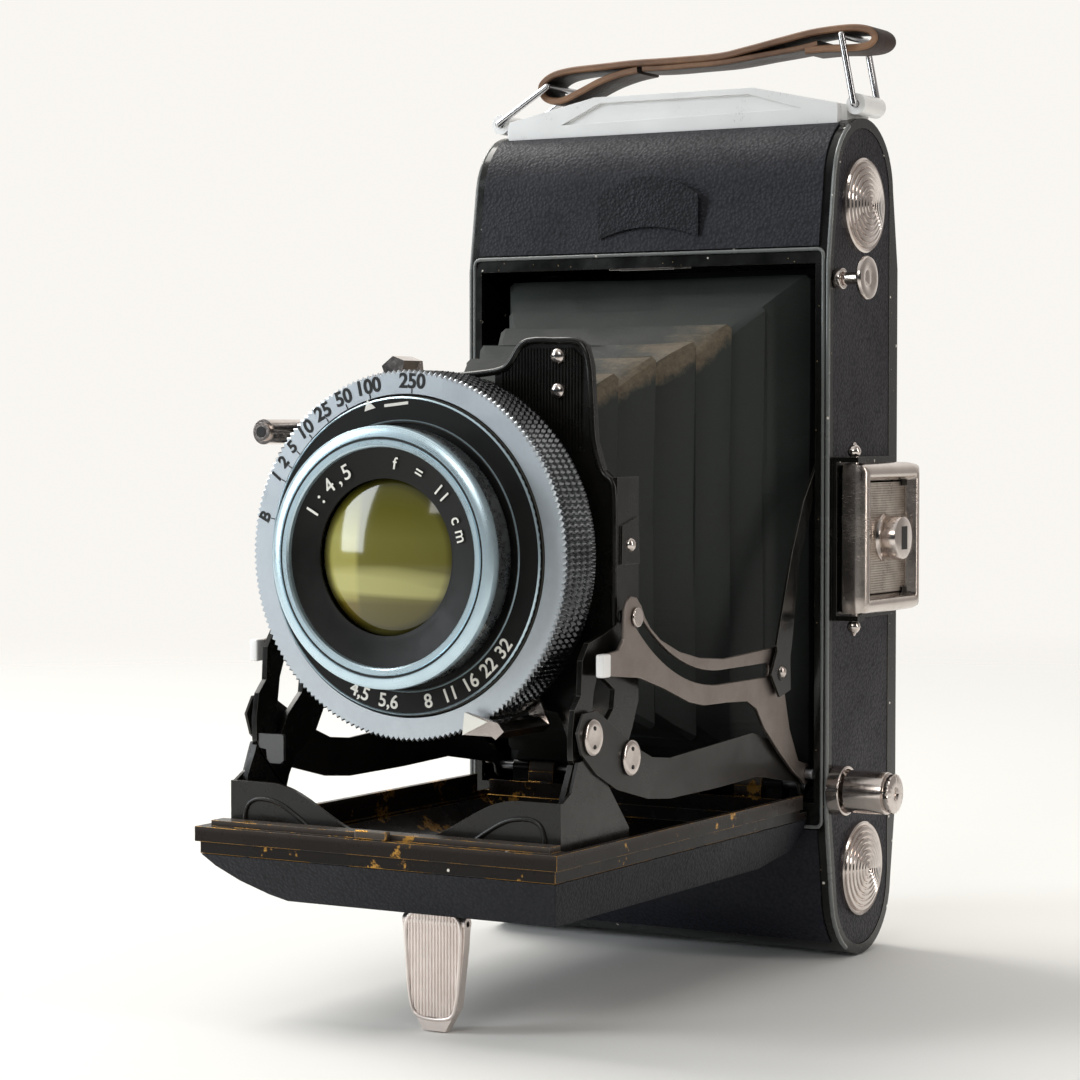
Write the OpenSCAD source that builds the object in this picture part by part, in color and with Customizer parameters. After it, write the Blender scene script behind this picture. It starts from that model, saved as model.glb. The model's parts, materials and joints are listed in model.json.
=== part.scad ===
// Folding roll-film camera for 6x9 negatives, bed open, standing on end.
// X runs across the body, -Y is the way the lens looks, +Z is up.

/* [Body] */
// Width across the two end plates
body_w = 78.8; // [78:0.2:82]
// Length of the body, from one rounded end to the other
body_h = 160; // [158:0.5:164]
// Depth of the body with the bed off
body_d = 31.6; // [31.4:0.2:33]
// Radius of the rounded ends
end_r = 13.5; // [12.5:0.1:14]
// Sheet thickness of the body shell
sheet = 1.2; // [1:0.1:1.3]
// Depth at which the back cover parts from the body
split_y = 27.6; // [27.2:0.1:28]
// Height of the spool axis above the nearer end of the body
spool_end = 16.6; // [16.4:0.1:17]
// Flange radius of a film spool
spool_r = 9.8; // [9:0.1:9.8]

/* [Bed] */
// Half width of the bed's lip
bed_hw = 36.2; // [35.8:0.1:36.2]
// Distance of the bed's front edge from the body's front face
bed_reach = 95.6; // [94:0.2:95.6]
// Height of the lip's upper face
lip_z = 32.3; // [32:0.1:32.4]
// Height of the leather face under the bed
bed_bottom = 20; // [19.5:0.1:20.5]
// Position of the bed's hinge pin behind the front face
hinge_y = 2.1; // [2:0.1:2.2]
// Height of the bed's hinge pin
hinge_z = 33.6; // [33.5:0.1:33.7]
// Sideways place of the folding leg
leg_x = 8.5; // [-10:0.5:12]
// Distance of the leg's hinge pin from the body's front face
leg_y = -88; // [-89:0.5:-86]

/* [Lens and shutter] */
// Height of the lens axis
lens_z = 79.4; // [79:0.1:80]
// Distance of the lens plate's front face from the body's front face
plate_y = -68.7; // [-69:0.1:-68.4]
// Outer radius of the shutter speed ring
ring_r = 31.6; // [30:0.1:31.7]
// Radius of the front bezel
bezel_r = 22.2; // [21:0.1:22.4]
// Radius of the front glass
glass_r = 13.3; // [12:0.1:13.5]

/* [Struts] */
// Forward stud of the slotted links: distance from the front face
stud_y = -67.1; // [-67.2:0.1:-67]
// Forward stud of the slotted links: height
stud_z = 69.2; // [69.1:0.1:69.3]
// Centre of the slot's arc: distance from the front face
slot_cy = -35; // [-35.1:0.1:-34.9]
// Centre of the slot's arc: height
slot_cz = 104.4; // [104.3:0.1:104.5]
// Length of the handle's wire bails, from bar to bar
bail_len = 13.3; // [12.5:0.1:14]

/* [Hidden] */
$fn = 64;

// The row's origin lies under the middle of the opened camera
back_reach = 33.2;
y_shift = (bed_reach - back_reach) / 2;

hw = body_w / 2;
wall = 2.4;
inner_hw = hw - wall;
mid_y = body_d / 2;
lean_z = 28;
spool_y = 15;
spool_z = [spool_end, body_h - spool_end];
crank_y = 26.6;
crank_end = -51.9;
chamber_z = [28.2, body_h - 27.8];
opening_z = [30.5, body_h - 28.1];
opening_hw = 36.6;
gate_y = 24;
link_y = 0;
link_z = 36;
brace_top = [8.4, 95];
brace_foot = [-13.3, 55.8];
stud_r = 1.1;
pin_gap = 0.06;
handle_y = 16.6;
knuckle_x = hw - 0.1;
knuckle_z = body_h + 2.4;
bar_right = [36.7, 175.4];
bar_left = [-27.9, 169.3];
wire_r = 0.65;
finder_x = [41, 46.1];
finder_yz = [1.9, 66, 28.8, 94.5];
finder_hinge = [43.2, 3.2];
eye_hinge = [43.5, 24.5];
bed_button_yz = [3.2, 129];
shutter_button_yz = [3.6, 32.8];
slot_r = norm([stud_y - slot_cy, stud_z - slot_cz]);
slot_half = stud_r + 0.15;
slot_sweep = 40.9;

// Placement helpers

module placed() {
  translate([0, y_shift, 0]) children();
}

// Extrudes a (y, z) outline along X, from x0 to x1
module along_x(x0, x1) {
  translate([x0, 0, 0]) rotate([90, 0, 90]) linear_extrude(x1 - x0) children();
}

// Extrudes an (x, z) outline along Y, from y0 to y1
module along_y(y0, y1) {
  translate([0, y1, 0]) rotate([90, 0, 0]) linear_extrude(y1 - y0) children();
}

module box(low, high) {
  translate(low) cube(high - low);
}

module rod_x(x0, x1, r, y, z) {
  translate([x0, y, z]) rotate([0, 90, 0]) cylinder(h = x1 - x0, r = r);
}

module rod_y(y0, y1, r, x, z) {
  translate([x, y1, z]) rotate([90, 0, 0]) cylinder(h = y1 - y0, r = r);
}

module rod_z(z0, z1, r, x, y) {
  translate([x, y, z0]) cylinder(h = z1 - z0, r = r);
}

// A ring about the lens axis
module lens_ring(y0, y1, r_in, r_out) {
  along_y(y0, y1) translate([0, lens_z]) difference() {
    circle(r_out, $fn = 128);
    circle(r_in, $fn = 128);
  }
}

// Copies a right-hand part to the left as well
module both_sides() {
  children();
  mirror([1, 0, 0]) children();
}

// Side outline of the body, moved inwards by inset: straight faces that lean in to rounded ends
function touch(p, c, r, side) =
  let (d = norm(p - c), a = atan2(p[1] - c[1], p[0] - c[0]) + side * acos(r / d))
  [c[0] + r * cos(a), c[1] + r * sin(a)];

module side_outline(inset = 0) {
  r = end_r - inset;
  low = [mid_y, end_r];
  high = [mid_y, body_h - end_r];
  front = inset;
  back = body_d - inset;
  polygon([
    [front, lean_z], [front, body_h - lean_z],
    touch([front, body_h - lean_z], high, r - 0.06, -1), touch([back, body_h - lean_z], high, r - 0.06, 1),
    [back, body_h - lean_z], [back, lean_z],
    touch([back, lean_z], low, r - 0.06, -1), touch([front, lean_z], low, r - 0.06, 1)
  ]);
  for (c = [low, high]) translate(c) circle(r, $fn = 96);
}

// Body, fixed parts

module body_shell() {
  color("#16181a") placed() difference() {
    union() {
      intersection() {
        along_x(-hw, hw) side_outline();
        box([-hw, -1, -1], [hw, split_y, body_h + 1]);
      }
      // Knuckles of the back's hinge
      rod_x(-13.8, 13.8, 1.5, 28, 5.9);
      both_sides() rod_x(30.2, 37, 1.5, 28, 5.9);
    }
    rod_x(-hw, hw, 0.8 + pin_gap, 28, 5.9);
    both_sides() rod_x(13.9, 30.1, 1.6, 28, 5.9);
    // Bellows chamber and the opening that the bed closes
    box([-inner_hw, sheet, chamber_z[0]], [inner_hw, body_d, chamber_z[1]]);
    box([-opening_hw, -1, opening_z[0]], [opening_hw, sheet + 1, opening_z[1]]);
    // Spool wells, above and below it
    intersection() {
      along_x(-inner_hw, inner_hw) side_outline(sheet);
      union() {
        box([-hw, 0, 0], [hw, body_d, chamber_z[0] - sheet]);
        box([-hw, 0, chamber_z[1] + sheet], [hw, body_d, body_h]);
      }
    }
    // Shallow pockets for the leather on the end plates
    both_sides() along_x(hw - 0.4, hw + 1) side_outline(1.9);
    // Holes for the spool pins, the key's spindle and the two plungers
    for (z = spool_z) rod_x(-hw - 1, hw + 1, 2 + pin_gap, spool_y, z);
    rod_x(inner_hw - 1, hw + 1, 1.2 + pin_gap, bed_button_yz[0], bed_button_yz[1]);
    rod_x(inner_hw - 1, hw + 1, 1.6 + pin_gap, shutter_button_yz[0], shutter_button_yz[1]);
    rod_x(-hw - 1, -inner_hw + 1, 4.6, mid_y, body_h / 2);
  }
  // Lugs that hold the bed's hinge pin
  color("#16181a") placed() both_sides() difference() {
    union() {
      box([26.1, 0.6, 28], [29.6, 4.2, hinge_z]);
      rod_x(26.1, 29.6, 1.8, hinge_y, hinge_z);
    }
    rod_x(26, 30, 1 + pin_gap, hinge_y, hinge_z);
  }
}

module side_leather() {
  color("#3b3840") placed() {
    difference() {
      along_x(hw - 0.4, hw - 0.1) side_outline(2);
      box([hw - 1, split_y, 0], [hw, body_d, body_h]);
      rod_x(hw - 1, hw, 1.2 + pin_gap, bed_button_yz[0], bed_button_yz[1]);
      rod_x(hw - 1, hw, 1.6 + pin_gap, shutter_button_yz[0], shutter_button_yz[1]);
      for (z = spool_z) rod_x(hw - 1, hw, 2.1, spool_y, z);
    }
    difference() {
      along_x(-hw + 0.1, -hw + 0.4) side_outline(2);
      box([-hw, split_y, 0], [-hw + 1, body_d, body_h]);
      for (z = spool_z) rod_x(-hw, -hw + 1, 2.1, spool_y, z);
      rod_x(-hw, -hw + 1, 6.6, mid_y, body_h / 2);
    }
  }
}

module front_leather() {
  color("#2a2d3a") placed() along_x(-37.2, 37.2) difference() {
    intersection() {
      side_outline(-0.4);
      union() {
        translate([-1, body_h - 24.9]) square([10.4, 26]);
        translate([-1, 3.2]) square([10, 22.2]);
      }
    }
    side_outline();
  }
}

// Domed caps with the pins that the spools turn on
module spool_caps() {
  color("#b9aaa2") placed() for (z = spool_z) {
    rod_x(hw - 0.1, hw + 0.8, 9.05, spool_y, z);
    for (i = [0 : 3]) rod_x(hw + 0.8 + i * 0.3, hw + 1.1 + i * 0.3, 8.6 - i * 1.9, spool_y, z);
    rod_x(31, hw - 0.1, 2, spool_y, z);
  }
}

module handle_plate() {
  color("#e8e8e8") placed() difference() {
    union() {
      along_y(handle_y - 6.5, handle_y + 6.5) polygon([
        [-37.6, 158], [-37.6, 162.2], [-16.6, 166.5], [18.4, 166.5], [37.6, 162.4], [37.6, 158]
      ]);
      for (s = [-1, 1]) rod_y(handle_y - 4.8, handle_y + 4.8, 2, s * knuckle_x, knuckle_z);
    }
    along_x(-hw - 5, hw + 5) side_outline();
    along_y(handle_y - 7, handle_y - 5.6) polygon([[-24, 161.4], [-15.4, 165.3], [17.4, 165.3], [28.6, 162]]);
    for (s = [-1, 1]) rod_y(handle_y - 7, handle_y + 7, wire_r + pin_gap, s * knuckle_x, knuckle_z);
    for (s = [-1, 1]) box([s * knuckle_x - 3, handle_y - 7, 158], [s * knuckle_x + 3, handle_y - 4.9, 166]);
    for (s = [-1, 1]) box([s * knuckle_x - 3, handle_y + 4.9, 158], [s * knuckle_x + 3, handle_y + 7, 166]);
  }
}

module film_gate() {
  color("#202224") placed() {
    difference() {
      box([-32.5, gate_y, chamber_z[0]], [32.5, gate_y + 0.8, chamber_z[1]]);
      box([-28, gate_y - 1, 37], [28, gate_y + 2, 123]);
    }
    // Film rails
    both_sides() box([30.6, gate_y + 0.8, 34], [31.6, gate_y + 1.1, 126]);
    // Feet that carry the gate on the end plates
    for (s = [-1, 1]) for (z = [chamber_z[0], chamber_z[1] - 4])
      box([s * 34.75 - 2.25, gate_y, z], [s * 34.75 + 2.25, gate_y + 0.8, z + 4]);
  }
}

module film_rollers() {
  color("#c8c8c8") placed() for (z = [29.9, chamber_z[1] - 1.7])
    rod_x(-30, 30, 1.2, gate_y + 2.2, z);
}

module bed_catch() {
  color("#c9b8a8") placed() {
    box([-6, sheet + 0.05, 131.5], [6, 3.4, chamber_z[1]]);
    box([-9, 2.6, 131.7], [9, 4.2, chamber_z[1]]);
  }
}

module hinge_pins() {
  color("#8a8c90") placed() {
    rod_x(-34.2, 34.2, 1, hinge_y, hinge_z);
    rod_x(-37, 37, 0.8, 28, 5.9);
  }
}

module link_pins() {
  color("#8a8c90") placed() both_sides() {
    rod_x(34.2, opening_hw, 1, link_y, link_z);
    rod_x(35.7, inner_hw, 1, brace_top[0], brace_top[1]);
  }
}

module tripod_bush() {
  color("#b9aaa2") placed() difference() {
    union() {
      rod_x(-hw - 3, -hw + 0.4, 6.4, mid_y, body_h / 2);
      rod_x(-hw + 0.4, -inner_hw, 4.6, mid_y, body_h / 2);
    }
    rod_x(-hw - 4, -inner_hw + 1, 3.95, mid_y, body_h / 2);
  }
}

module button_collars() {
  color("#b9aaa2") placed() {
    difference() {
      rod_x(hw, hw + 1.6, 2, bed_button_yz[0], bed_button_yz[1]);
      rod_x(hw - 1, hw + 2, 1.2 + pin_gap, bed_button_yz[0], bed_button_yz[1]);
    }
    difference() {
      rod_x(hw, hw + 2.6, 4.7, shutter_button_yz[0], shutter_button_yz[1]);
      rod_x(hw + 0.6, hw + 3, 4.1, shutter_button_yz[0], shutter_button_yz[1]);
      rod_x(hw - 1, hw + 2, 1.6 + pin_gap, shutter_button_yz[0], shutter_button_yz[1]);
    }
  }
}

// Folding finder

module finder_base() {
  color("#16181a") placed() difference() {
    union() {
      box([hw, 1.6, 64.9], [hw + 1, 28.2, 95.6]);
      for (z = [64.9, 94.6]) box([hw, 1.6, z], [44.8, 4.8, z + 1]);
      for (z = [69.3, 90]) box([hw, 23.4, z], [44.3, 25.4, z + 1.1]);
    }
    rod_z(60, 100, 0.8 + pin_gap, finder_hinge[0], finder_hinge[1]);
    rod_z(69, 92, 0.5, eye_hinge[0], eye_hinge[1]);
  }
}

module finder_pin() {
  color("#d8d8d8") placed() {
    rod_z(63.9, 96.6, 0.8, finder_hinge[0], finder_hinge[1]);
    for (z = [63.7, 96.8]) translate([finder_hinge[0], finder_hinge[1], z]) sphere(1.2, $fn = 32);
  }
}

module finder_front() {
  color("#c0b4ac") placed() difference() {
    box([finder_x[0], finder_yz[0], finder_yz[1]], [finder_x[1], finder_yz[2], finder_yz[3]]);
    box([finder_x[0] - 1, 5.4, 69.2], [finder_x[1] + 1, 25.6, 91.2]);
    rod_z(60, 100, 0.8 + pin_gap, finder_hinge[0], finder_hinge[1]);
  }
}

module finder_eyepiece() {
  color("#a89c92") placed() difference() {
    union() {
      box([43, 6.9, 70.5], [44, 25.1, 89.9]);
      rod_x(44, 48.1, 4.6, 15.5, 80.2);
      for (i = [0 : 16]) box([44, 7.5, 71.6 + i * 1.05], [44.2, 24.5, 72.1 + i * 1.05]);
      rod_z(69.5, 90.9, 0.44, eye_hinge[0], eye_hinge[1]);
    }
    box([42, 13.6, 77.8], [49, 17.4, 82.6]);
  }
}

// Bellows: a closed skin that tapers from the film gate to the lens plate
module bellows_solid(t) {
  hull() {
    box([-33 + t, gate_y - 0.3, 36 + t], [33 - t, gate_y - 0.1, 130.6 - t]);
    box([-33 + t, 1, 37 + t], [33 - t, 1.2, 130.4 - t]);
  }
  hull() {
    box([-33 + t, 1, 37 + t], [33 - t, 1.2, 130.4 - t]);
    box([-15.5 + t, plate_y + 1.2, 56 + t], [15.5 - t, plate_y + 1.4, 104 - t]);
  }
}

module bellows() {
  color("#3a3d3a") placed() difference() {
    bellows_solid(0);
    difference() {
      bellows_solid(1.4);
      box([-40, plate_y, 0], [40, plate_y + 1.3, 160]);
    }
    lens_ring(plate_y, plate_y + 9, 0, 13);
    box([-28, gate_y - 4, 40], [28, gate_y + 1, 122]);
  }
}

// Bed

// Cross-section of the pan under the bed's lip, moved inwards by t
module pan_across(t) {
  polygon([
    [-35.5 + t, 29], [-35.5 + t, 27.5], [-33 + t, 25.4], [-28.6 + t, 23], [-23 + t, 20.9 + t],
    [-19.5 + t / 2, bed_bottom + t], [33.6 - t, bed_bottom + t], [35.5 - t, 27.5], [35.5 - t, 29]
  ]);
}

module pan_along(t) {
  polygon([
    [-94.9 + t, 29], [-94.9 + t, 27.5], [-91.6 + t, bed_bottom + t], [-17 - t, bed_bottom + t],
    [-5 - t, 21.9 + t], [-0.9 - t, 25.6], [-0.6 - t, 29]
  ]);
}

module pan(t) {
  intersection() {
    along_y(-97, 0) pan_across(t);
    along_x(-38, 38) pan_along(t);
  }
}

module bed_shell() {
  color("#2b2422") placed() difference() {
    union() {
      box([-bed_hw, -bed_reach, 29.7], [bed_hw, -0.4, lip_z]);
      box([-35.5, -94.9, 27.6], [35.5, -0.6, 29.8]);
      pan(0.5);
      // Raised inner lip at the front
      box([-33.9, -93.9, lip_z - 0.1], [33.9, -90.4, 33.3]);
      // Hinge ears
      both_sides() difference() {
        union() {
          rod_x(20, 25.6, 2.2, hinge_y, hinge_z);
          box([20, -2, 30.6], [25.6, hinge_y - 0.4, 33]);
        }
        rod_x(19, 27, 1 + pin_gap, hinge_y, hinge_z);
        box([19, 0.3, 25], [27, 5, 31.5]);
      }
    }
    intersection() {
      union() {
        pan(1.2);
        box([-35, -94.2, 28], [35, -1.4, 34]);
      }
      union() {
        box([-40, -90.3, 10], [40, -1.4, lip_z + 2]);
        box([-40, -97, 10], [40, -90, 29]);
      }
    }
    box([-35, -3.2, 31], [35, -0.3, 34]);
    // Notches that clear the link bosses
    both_sides() box([34.1, -7, 28.9], [35.3, 0, 34]);
    both_sides() box([34.1, -3.8, 28.9], [bed_hw + 1, 0, 34]);
    both_sides() rod_x(19, 27, 1 + pin_gap, hinge_y, hinge_z);
  }
}

module bed_leather() {
  color("#23273a") placed() difference() {
    intersection() {
      pan(0);
      box([-40, -100, 15], [40, 0, 27.5]);
    }
    pan(0.5);
  }
}

function wave(x) = 31.7 + 8.1 * (0.5 - 0.5 * cos(180 * min(1, max(0, (abs(x) - 3) / 22))));

module foot_bracket() {
  color("#3a3a3c") placed() {
    // Front wall with its wavy upper edge
    along_y(-89.1, -88.2) polygon(concat(
      [[33.2, 28.2], [33.2, 39.8]],
      [for (i = [16 : -1 : -16]) [i * 1.7, wave(i * 1.7)]],
      [[-33.2, 39.8], [-33.2, 28.2], [-26, 28.2], [-19, 22], [26, 22], [29, 28.2]]
    ));
    // Cheeks; the left one is cut short to clear the cable socket
    difference() {
      both_sides() along_x(32.6, 33.2) polygon([
        [-88.3, 28.2], [-88.3, 39.8], [-85.6, 41.2], [-83.4, 46], [-78.4, 46.6], [-73, 41], [-66, 33.4], [-66, 28.2]
      ]);
      box([-34, -73.5, 28], [-32, -60, 50]);
    }
    // Posts that carry the standard's feet
    both_sides() along_x(31.4, 32.4) polygon([
      [-88.3, 28.4], [-88.3, 33], [-87, 34], [-86.6, 40.4], [-84.4, 44.4], [-83.9, 45.6], [-82.2, 43.4],
      [-78.2, 39.6], [-74.6, 36.6], [-73.6, 34], [-73.6, 28.4]
    ]);
    both_sides() box([32.3, -88.3, 28.4], [32.7, -74, 33]);
    // Foot that rests on the floor of the bed
    box([-18, -88.3, 21.2], [26, -84, 22]);
  }
}

module side_arms() {
  color("#242220") placed() both_sides() difference() {
    union() {
      along_x(33.2, 33.7) polygon([
        [-84.4, 51], [-82.4, 54], [-78, 54.2], [-63.2, 46.4], [-58.5, 44.6], [-52, 43.9], [-42, 44.3],
        [-20, 45.4], [-9, 42.6], [-1, 37], [2.1, 36], [2.1, 31.4], [-1, 34.4], [-18, 37.2], [-34, 36.8],
        [-52, 36.8], [-60, 37.6], [-71, 40.3], [-78, 43.5], [-83, 47.3]
      ]);
      rod_x(33.2, 33.7, 2.3, hinge_y, hinge_z);
    }
    rod_x(33, 34, 1 + pin_gap, hinge_y, hinge_z);
  }
}

module arm_studs() {
  color("#cfc6c0") placed() both_sides() for (c = [[-79.8, 49.9], [-66.7, 45.3]])
    rod_x(33.7, 34.2, 2.9, c[0], c[1]);
}

module bed_latch() {
  color("#b9aaa2") placed() box([-3.2, -bed_reach + 0.2, lip_z], [3.2, -93.9, 33.9]);
}

module support_leg() {
  color("#d9cfc8") placed() difference() {
    union() {
      along_y(leg_y - 0.9, leg_y + 0.9) polygon([
        [leg_x - 6.2, 18.2], [leg_x + 6.2, 18.2], [leg_x + 5.9, 14], [leg_x + 4.7, 4.2], [leg_x + 2.2, 0.02],
        [leg_x - 2.2, 0.02], [leg_x - 4.7, 4.2], [leg_x - 5.9, 14]
      ]);
      rod_x(leg_x - 6.2, leg_x + 6.2, 1.1, leg_y, 18.4);
    }
    // Ribbed recess on the front
    difference() {
      along_y(leg_y - 2, leg_y - 0.4) polygon([
        [leg_x - 4.6, 14.4], [leg_x - 2.4, 16.2], [leg_x, 16.8], [leg_x + 2.4, 16.2], [leg_x + 4.6, 14.4],
        [leg_x + 3.4, 4.6], [leg_x + 1.6, 1.8], [leg_x - 1.6, 1.8], [leg_x - 3.4, 4.6]
      ]);
      for (i = [-4 : 4]) box([leg_x + i * 0.95 - 0.2, leg_y - 0.7, 1], [leg_x + i * 0.95 + 0.2, leg_y, 17]);
    }
    rod_x(leg_x - 7, leg_x + 7, 0.5, leg_y, 18.4);
  }
}

// Struts

// A curved slot: an arc about the slot's centre, then a straight run
module slot_outline() {
  a0 = atan2(stud_z - slot_cz, stud_y - slot_cy);
  a1 = a0 + slot_sweep;
  end = [slot_cy + slot_r * cos(a1), slot_cz + slot_r * sin(a1)];
  intersection() {
    translate([slot_cy, slot_cz]) difference() {
      circle(slot_r + slot_half, $fn = 180);
      circle(slot_r - slot_half, $fn = 180);
    }
    polygon([
      [slot_cy, slot_cz],
      for (i = [0 : 4]) [slot_cy + 60 * cos(a0 + i * slot_sweep / 4), slot_cz + 60 * sin(a0 + i * slot_sweep / 4)]
    ]);
  }
  translate([stud_y, stud_z]) circle(slot_half);
  translate(end) circle(slot_half);
  translate([end[0], end[1] - slot_half]) square([19, 2 * slot_half]);
  translate([end[0] + 19, end[1]]) circle(slot_half);
}

module slot_link() {
  difference() {
    union() {
      along_x(34.3, 35.1) polygon([
        [-70.7, 70.4], [-69.9, 72], [-68.4, 72.8], [-66.7, 72.5], [-65, 71], [-63.9, 69.2], [-61.9, 67.2],
        [-58.2, 64.9], [-51.3, 62.4], [-43.7, 60.8], [-34.1, 60], [-24.1, 60.3], [-13, 60.8], [-9.6, 58.6],
        [-9.4, 52], [-7.2, 45], [-3.4, 38.8], [0, 37.9], [-1.6, 34.8], [-5.1, 36.6], [-11.6, 41.2], [-17.9, 46.2],
        [-21, 49.9], [-25, 51.6], [-33, 52], [-41.8, 52.2], [-47.5, 53.2], [-56.8, 56.3], [-65.8, 58.8],
        [-77.2, 59.9], [-77.2, 63.6], [-72.8, 64], [-71.2, 65.6]
      ]);
      rod_x(34.3, 35.1, 2, link_y, link_z);
    }
    along_x(34, 36) slot_outline();
    rod_x(34, 36, 1 + pin_gap, link_y, link_z);
  }
}

module slot_link_right() {
  color("#86807c") placed() slot_link();
}

module slot_link_left() {
  color("#86807c") placed() mirror([1, 0, 0]) slot_link();
}

module finger_tab() {
  box([34.3, -79.7, 59.8], [36, -77.2, 63.7]);
}

module finger_tab_right() {
  color("#d8d8d8") placed() finger_tab();
}

module finger_tab_left() {
  color("#d8d8d8") placed() mirror([1, 0, 0]) finger_tab();
}

module stud_on_link(x0) {
  rod_x(x0, 35.3, stud_r, stud_y, stud_z);
  rod_x(35.2, 35.7, 1.7, stud_y, stud_z);
}

module slot_stud() {
  color("#d8cfc8") placed() stud_on_link(32.6);
}

module brace() {
  difference() {
    union() {
      along_x(35.8, 36.3) polygon([
        [-15.4, 61.2], [-14.9, 60.3], [-17.5, 56], [-14, 51.6], [-9.4, 52.6], [-9.6, 58.4], [-8.9, 61],
        [-5.8, 76.5], [0.2, 87.5], [5.4, 92], [10, 93], [10.2, 96.4], [7.4, 97.2], [2.6, 95.4], [-3.9, 87.6], [-9.2, 77.4]
      ]);
      rod_x(35.8, 36.3, 2.2, brace_top[0], brace_top[1]);
      rod_x(35.2, 36.55, 1.3, brace_foot[0], brace_foot[1]);
    }
    rod_x(35, 37, 1 + pin_gap, brace_top[0], brace_top[1]);
  }
}

module brace_right() {
  color("#1c1c1c") placed() brace();
}

module brace_left() {
  color("#1c1c1c") placed() mirror([1, 0, 0]) brace();
}

// Lens standard and shutter

module lens_standard() {
  color("#1d1e1f") placed() difference() {
    union() {
      along_y(plate_y, plate_y + 1) {
        intersection() {
          translate([0, lens_z]) circle(30.6, $fn = 128);
          translate([-40, 40]) square([80, 71.2]);
        }
        polygon([
          [8, 100], [8.3, 111.1], [11.3, 111.9], [13.7, 115.8], [16, 116.6], [24.4, 116.4], [26.6, 115.1],
          [27.6, 111.7], [28.4, 99], [29.9, 94], [31.3, 92.8], [32.4, 92.8], [32.4, 54.6], [20, 54.6]
        ]);
        polygon([[-32.4, 60], [-29.6, 61.4], [-20, 61.4], [-20, 92.8], [-32.4, 92.8]]);
        // The lower right corner runs down to the neck
        polygon([
          [16, 60], [16, 53.2], [20.8, 52.4], [21.8, 50.4], [23.5, 46], [26, 44.6], [31.6, 44.6], [32.4, 47], [32.4, 60]
        ]);
      }
      // Side flanges and the necks that stand in the foot bracket
      both_sides() along_x(31.4, 32.4) polygon([
        [plate_y, 92.8], [-61.2, 92.8], [-61.2, 54.6], [-63.4, 50], [-66, 46], [-72, 42.5], [-74, 39.4], [-74.8, 37.4],
        [-78, 40], [-82, 43.8], [-83.9, 46.4], [-84, 50.2], [-83.2, 54.6], [-81, 56.8], [-80.6, 62.6], [-78.4, 65.4],
        [-73, 66.6], [plate_y, 68]
      ]);
      // Folded strap on each flange
      both_sides() along_x(32.4, 32.8) polygon([[-67.6, 84.6], [-62, 86], [-61.4, 78], [-67.8, 78]]);
    }
    rod_y(plate_y - 1, plate_y + 2, 16, 0, lens_z);
    both_sides() rod_x(31, 33, stud_r + pin_gap, stud_y, stud_z);
    // Slit between the neck and the flange
    both_sides() along_x(31, 33) polygon([
      [-75.3, 60.4], [-69.5, 57], [-70, 53.8], [-74.4, 50.2], [-76.6, 46.8], [-78, 46.8], [-77.4, 53.3], [-76.8, 57]
    ]);
  }
}

module standard_studs() {
  color("#d8d8d8") placed() {
    for (z = [107.4, 113.3]) rod_y(plate_y - 1.5, plate_y, 1.3, 21.1, z);
    both_sides() rod_x(32.8, 33.4, 1.2, -64.7, 81.3);
    // Press tab on the left neck
    along_y(-83.6, -82.9) polygon([
      [-31.4, 47.6], [-26, 47.6], [-26, 42.6], [-29.2, 42.6], [-29.5, 44.8], [-31.4, 45]
    ]);
    mirror([1, 0, 0]) stud_on_link(31.4);
  }
}

module shutter_case() {
  color("#222324") placed() difference() {
    union() {
      lens_ring(-73.5, plate_y, 13, 27.2);
      lens_ring(-84.3, -73.4, 14.4, 27.2);
    }
    lens_ring(-84.4, -75, 14.4, 20.6);
  }
}

module shutter_blades() {
  color("#303234") placed() lens_ring(-73.2, -72.8, 0, 12.9);
}

// Black ring that carries the aperture scale and the speed index
module scale_ring() {
  color("#101112") placed() lens_ring(-85.2, -84.3, 22.6, 27);
}

module rear_cell() {
  color("#222324") placed() lens_ring(plate_y + 1, -62.6, 10.4, 12.2);
}

module rear_lens() {
  color("#9aa06a") placed() lens_ring(-66, -63.4, 0, 10.4);
}

module speed_ring() {
  color("#cfd4d8") placed() lens_ring(-84.5, -73.7, 27.3, ring_r);
}

module aperture_pointer() {
  color("#d8d8d8") placed() {
    along_y(-86.9, -86.1) polygon([[13.1, 49.9], [13.5, 53.7], [18, 52.6], [19.8, 52.2], [18.6, 49.9]]);
    along_y(-86.9, -71.2) polygon([[18.2, 52.4], [19.8, 52.2], [21, 50.8], [19.4, 49.4], [17.6, 50.6]]);
    along_y(-72, -71.2) polygon([[15.4, 56.6], [17.6, 58.2], [21, 50.8], [18.2, 49.2]]);
  }
}

module cocking_lever() {
  color("#c8c8c8") placed() {
    along_y(-73.2, -72.2) polygon([[-22.4, 95.2], [-20.8, 97.2], [-26, 101.6], [-28.4, 102.4], [-31, 99.4]]);
    rod_y(-84.9, -72.3, 2.2, -29, 100.4);
    rod_y(-85.6, -84.8, 1.6, -29, 100.4);
  }
}

module release_lever() {
  color("#c8c8c8") placed() {
    along_y(-72, -71) polygon([[-8.2, 105.6], [-4.4, 106.5], [-5, 112.6], [-9.6, 111.6]]);
    along_y(-77, -71) polygon([[-5.2, 111.2], [-5, 112.7], [-7.3, 113.5], [-9.6, 111.8], [-9, 110.4]]);
  }
}

module focus_ring() {
  color("#9fb4be") placed() {
    lens_ring(-92.5, -90, 18.6, bezel_r);
    lens_ring(-90.1, -85.5, 18.6, 21.7);
    lens_ring(-85.6, -79, 18.6, 20.5);
  }
}

module name_ring() {
  color("#17181a") placed() lens_ring(-91.4, -90.2, glass_r, 18.6);
}

module front_lens() {
  color("#a8a64a") placed() intersection() {
    lens_ring(-91.9, -80, 0, glass_r);
    translate([0, -63, lens_z]) sphere(28.6, $fn = 96);
  }
}

// Buttons, key and spools

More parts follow.
